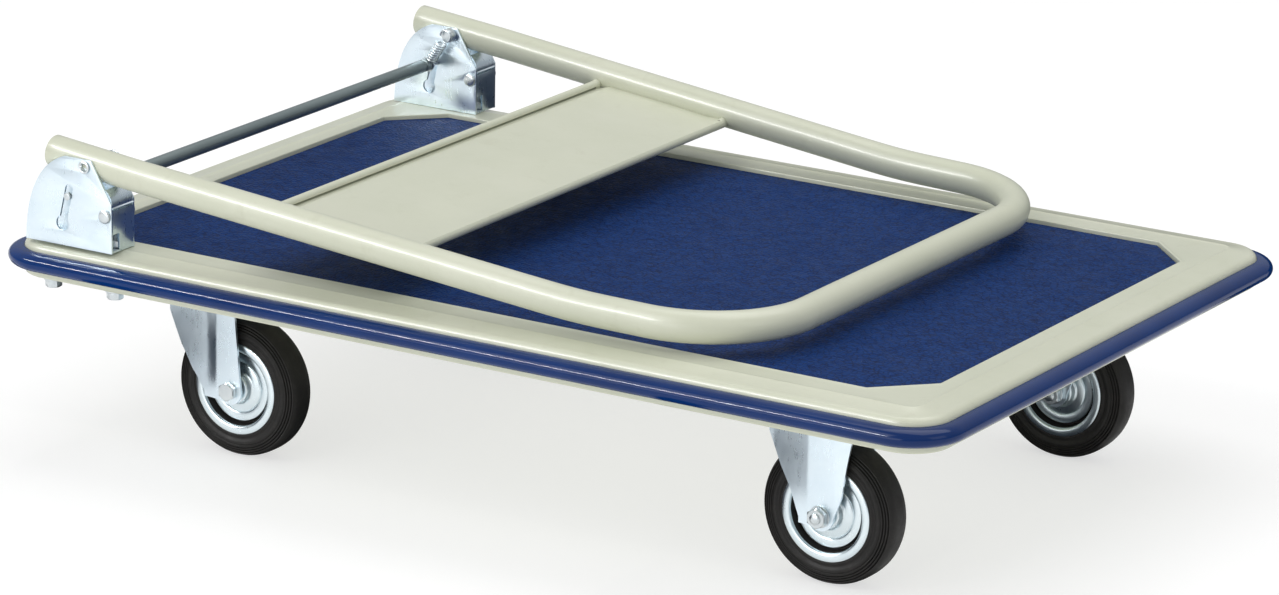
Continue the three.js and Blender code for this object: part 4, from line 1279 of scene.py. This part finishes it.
def build_plate_bolts(prefix, centre, under, body):
    """Four bolts that hold a caster plate to its channel, seen from below as nuts."""
    washer = [
        (4.4, under - 1.6), (8.0, under - 1.6), (8.2, under - 1.3), (8.2, under), (4.4, under),
    ]
    bolts = Build()
    for sx, sy in QUARTERS:
        at = (centre.x + sx * PLATE_BOLT_X, centre.y + sy * PLATE_BOLT_Y, 0)
        turn = sx * 0.4 + sy * 0.3
        place = Matrix.Translation((*at[:2], under + 1.4)) @ Matrix.Rotation(math.pi, 4, "X")
        bolts.add(*turned(washer, "Z", at, 28, closed=True))
        bolts.add(*hex_block(M8_FLATS, under - 7.0, under - 1.6, 0, centre=at, turn=turn))
        bolts.add(*threaded_rod(M8_RADIUS, 0.0, 11.0), place=place)
    bolts.finish(prefix, "plate_bolts", [BOLT_ZINC], body, replaces=False)


def build_swivel_head(prefix):
    """Top plate, ball race and king pin, which stay with the deck."""
    low, high, centre = box_mm(f"{prefix}_top_plate")
    plate = Build()
    add_mounting_plate(plate, low, high, [round_hole(0, 0, 6.2)])
    plate.finish(f"{prefix}_top_plate", "stamped", [ZINC], "deck")
    build_plate_bolts(prefix, centre, high.z - PLATE_SHEET, "deck")
    axis = (centre.x, centre.y, 0)
    low, high, _ = box_mm(f"{prefix}_bearing_ring")
    z, top = low.z, high.z
    ring = [
        (16, z + 0.4), (16.4, z), (30, z), (31.6, z + 0.6), (32, z + 1.8), (31.2, z + 3.2),
        (30.2, z + 3.9), (30.6, z + 4.6), (31.4, z + 5.6), (31.2, top), (16, top),
    ]
    race = Build().add(*turned(ring, "Z", axis, 56, closed=True))
    node = f"{prefix}_bearing_ring"
    race.finish(node, "rolled", [BOLT_ZINC], "deck", sharp=45, slot="bearing_steel")
    low, high, _ = box_mm(f"{prefix}_kingpin")
    head = low.z + 7
    shape = [
        (0, low.z), (4, low.z + 0.2), (7.4, low.z + 1.8), (8.8, low.z + 4.4), (9, head - 0.3),
        (8.8, head), (6, head), (6, high.z - 0.2), (0, high.z),
    ]
    pin = Build().add(*turned(shape, "Z", axis, 32))
    pin.finish(f"{prefix}_kingpin", "riveted", [BOLT_ZINC], "deck", sharp=45)


def build_casters():
    for name in SIDES:
        kinds = (
            ("fixed", build_fixed_fork, "deck"),
            ("swivel", build_swivel_fork, f"swivel_{name}"),
        )
        for kind, build_fork, body in kinds:
            prefix = f"{kind}_caster_{name}"
            build_fork(prefix, body)
            build_axle(prefix, body)
            build_rim(prefix, f"{kind}_wheel_{name}")
            build_tyre(prefix, f"{kind}_wheel_{name}")
        build_swivel_head(prefix)


# ---- studio ------------------------------------------------------------------------
CAMERA_ANGLES = (31.674, 16.649, 0.938)
CAMERA_DISTANCE = 5.21814
CAMERA_TARGET = Vector((0, 0, 0.15))
CAMERA_LENS = 168.62
CAMERA_SHIFT = (-0.0012, -0.0092)
WORLD_STRENGTH = 0.6
CARD_AHEAD = 150
CARD_FOOT = 0.003
CARD_TOP = 0.09


def add_stage_face(name, corners, paint):
    """One flat face of studio dressing, which isn't part of the cart."""
    mesh = bpy.data.meshes.new(name)
    mesh.from_pydata(corners, [], [(0, 1, 2, 3)])
    mesh.materials.append(paint)
    face = new_object(name, mesh)
    return face


def build_floor():
    size = 14.0
    corners = [(-size, -size, 0), (size, -size, 0), (size, size, 0), (-size, size, 0)]
    add_stage_face("floor", corners, floor_paint())


def build_shade_cards():
    """Dark cards round the cart that only its glossy faces mirror: painted shade in their
    reflections, for contrast in the zinc.
    """
    x0, x1, y, z = -0.78, 0.36, 0.215, CARD_FOOT
    cards = {"under": [(x0, -y, z), (x1, -y, z), (x1, y, z), (x0, y, z)]}
    x0, x1, y, z0, z1 = -0.42, 0.55, 0.48, 0.01, 0.22
    cards["behind"] = [(x0, y, z0), (x1, y, z0), (x1, y, z1), (x0, y, z1)]
    for caster in ("fixed_caster", "swivel_caster"):
        for name, side in SIDES.items():
            x = (box_mm(f"{caster}_{name}_tyre")[2].x - CARD_AHEAD) * MM
            near, far = side * 0.22, side * 0.405
            cards[f"{caster}_{name}"] = [
                (x, near, CARD_FOOT), (x, far, CARD_FOOT), (x, far, CARD_TOP), (x, near, CARD_TOP),
            ]
    paint = card_paint()
    for name, corners in cards.items():
        card = add_stage_face(f"shade_card_{name}", corners, paint)
        card.visible_camera = False
        card.visible_diffuse = False
        card.visible_shadow = False


def add_softbox(name, place, size, power, height=0.1):
    """Rectangular light that faces the cart at a height over the floor."""
    light = bpy.data.lights.new(name, "AREA")
    light.shape = "RECTANGLE"
    light.size, light.size_y = size
    light.energy = power
    holder = new_object(name, light)
    holder.location = place
    direction = Vector((0, 0, height)) - Vector(place)
    holder.rotation_euler = direction.to_track_quat("-Z", "Y").to_euler()
    return holder


def build_world():
    """White tent: bright above, a cooler and darker band near the horizon."""
    world = bpy.data.worlds.new("studio")
    bpy.context.scene.world = world
    world.use_nodes = True
    nodes, links = world.node_tree.nodes, world.node_tree.links
    background = nodes["Background"]
    place = nodes.new("ShaderNodeTexCoord")
    split = nodes.new("ShaderNodeSeparateXYZ")
    ramp = nodes.new("ShaderNodeValToRGB")
    links.new(place.outputs["Generated"], split.inputs[0])
    links.new(split.outputs["Z"], ramp.inputs["Fac"])
    links.new(ramp.outputs["Color"], background.inputs["Color"])
    horizon, zenith = ramp.color_ramp.elements
    horizon.position, horizon.color = 0.0, (0.30, 0.34, 0.38, 1)
    zenith.position, zenith.color = 0.55, (1.0, 1.0, 1.0, 1)
    ramp.color_ramp.elements.new(0.16).color = (0.62, 0.66, 0.70, 1)
    background.inputs["Strength"].default_value = WORLD_STRENGTH


def build_lights():
    """Softboxes, and a narrow strip that only glossy faces mirror."""
    add_softbox("key", (-1.4, -2.4, 3.0), (2.6, 2.0), 34)
    add_softbox("top", (0.2, 1.0, 3.4), (3.2, 2.4), 46)
    add_softbox("front", (-0.6, -4.2, 1.1), (4.0, 1.6), 44)
    strip = add_softbox("strip", (-1.5, -2.0, 1.85), (2.8, 0.09), 84, 0.15)
    strip.visible_diffuse = False
    add_softbox("side", (3.2, -0.6, 1.6), (1.6, 1.6), 7, 0.15)


def build_camera():
    """Long lens at the catalogue picture's azimuth, elevation and roll."""
    azimuth, elevation, roll = (math.radians(angle) for angle in CAMERA_ANGLES)
    back = Vector((
        math.sin(azimuth) * math.cos(elevation),
        -math.cos(azimuth) * math.cos(elevation),
        math.sin(elevation),
    ))
    level = Vector((math.cos(azimuth), math.sin(azimuth), 0))
    upright = back.cross(level)
    right = level * math.cos(roll) + upright * math.sin(roll)
    up = upright * math.cos(roll) - level * math.sin(roll)
    data = bpy.data.cameras.new("camera")
    data.sensor_width = 36.0
    data.lens = CAMERA_LENS
    data.shift_x, data.shift_y = CAMERA_SHIFT
    data.clip_end = 60
    camera = new_object("camera", data)
    turn = Matrix((right, up, back)).transposed().to_4x4()
    camera.matrix_world = Matrix.Translation(back * CAMERA_DISTANCE + CAMERA_TARGET) @ turn
    bpy.context.scene.camera = camera


# ---- assembly ----------------------------------------------------------------------
def build_cart():
    build_deck_pan()
    build_mat()
    build_bumper()
    for name, side in SIDES.items():
        build_rail(name)
        build_bracket(name, side)
        build_bracket_fasteners(name)
        build_pivot_pin(name, side)
        build_stop_rivet(name, side)
        build_bar_washer(name)
        build_pin_stud(name, side)
        build_spring(name, side)
    build_channel("rear")
    build_channel("front")
    build_handle_tube()
    build_handle_panel()
    build_release_bar()
    build_casters()


build_camera()
build_world()
build_lights()
build_floor()
build_shade_cards()
build_cart()
bpy.context.scene.view_settings.view_transform = "Standard"

bpy.context.view_layer.update()
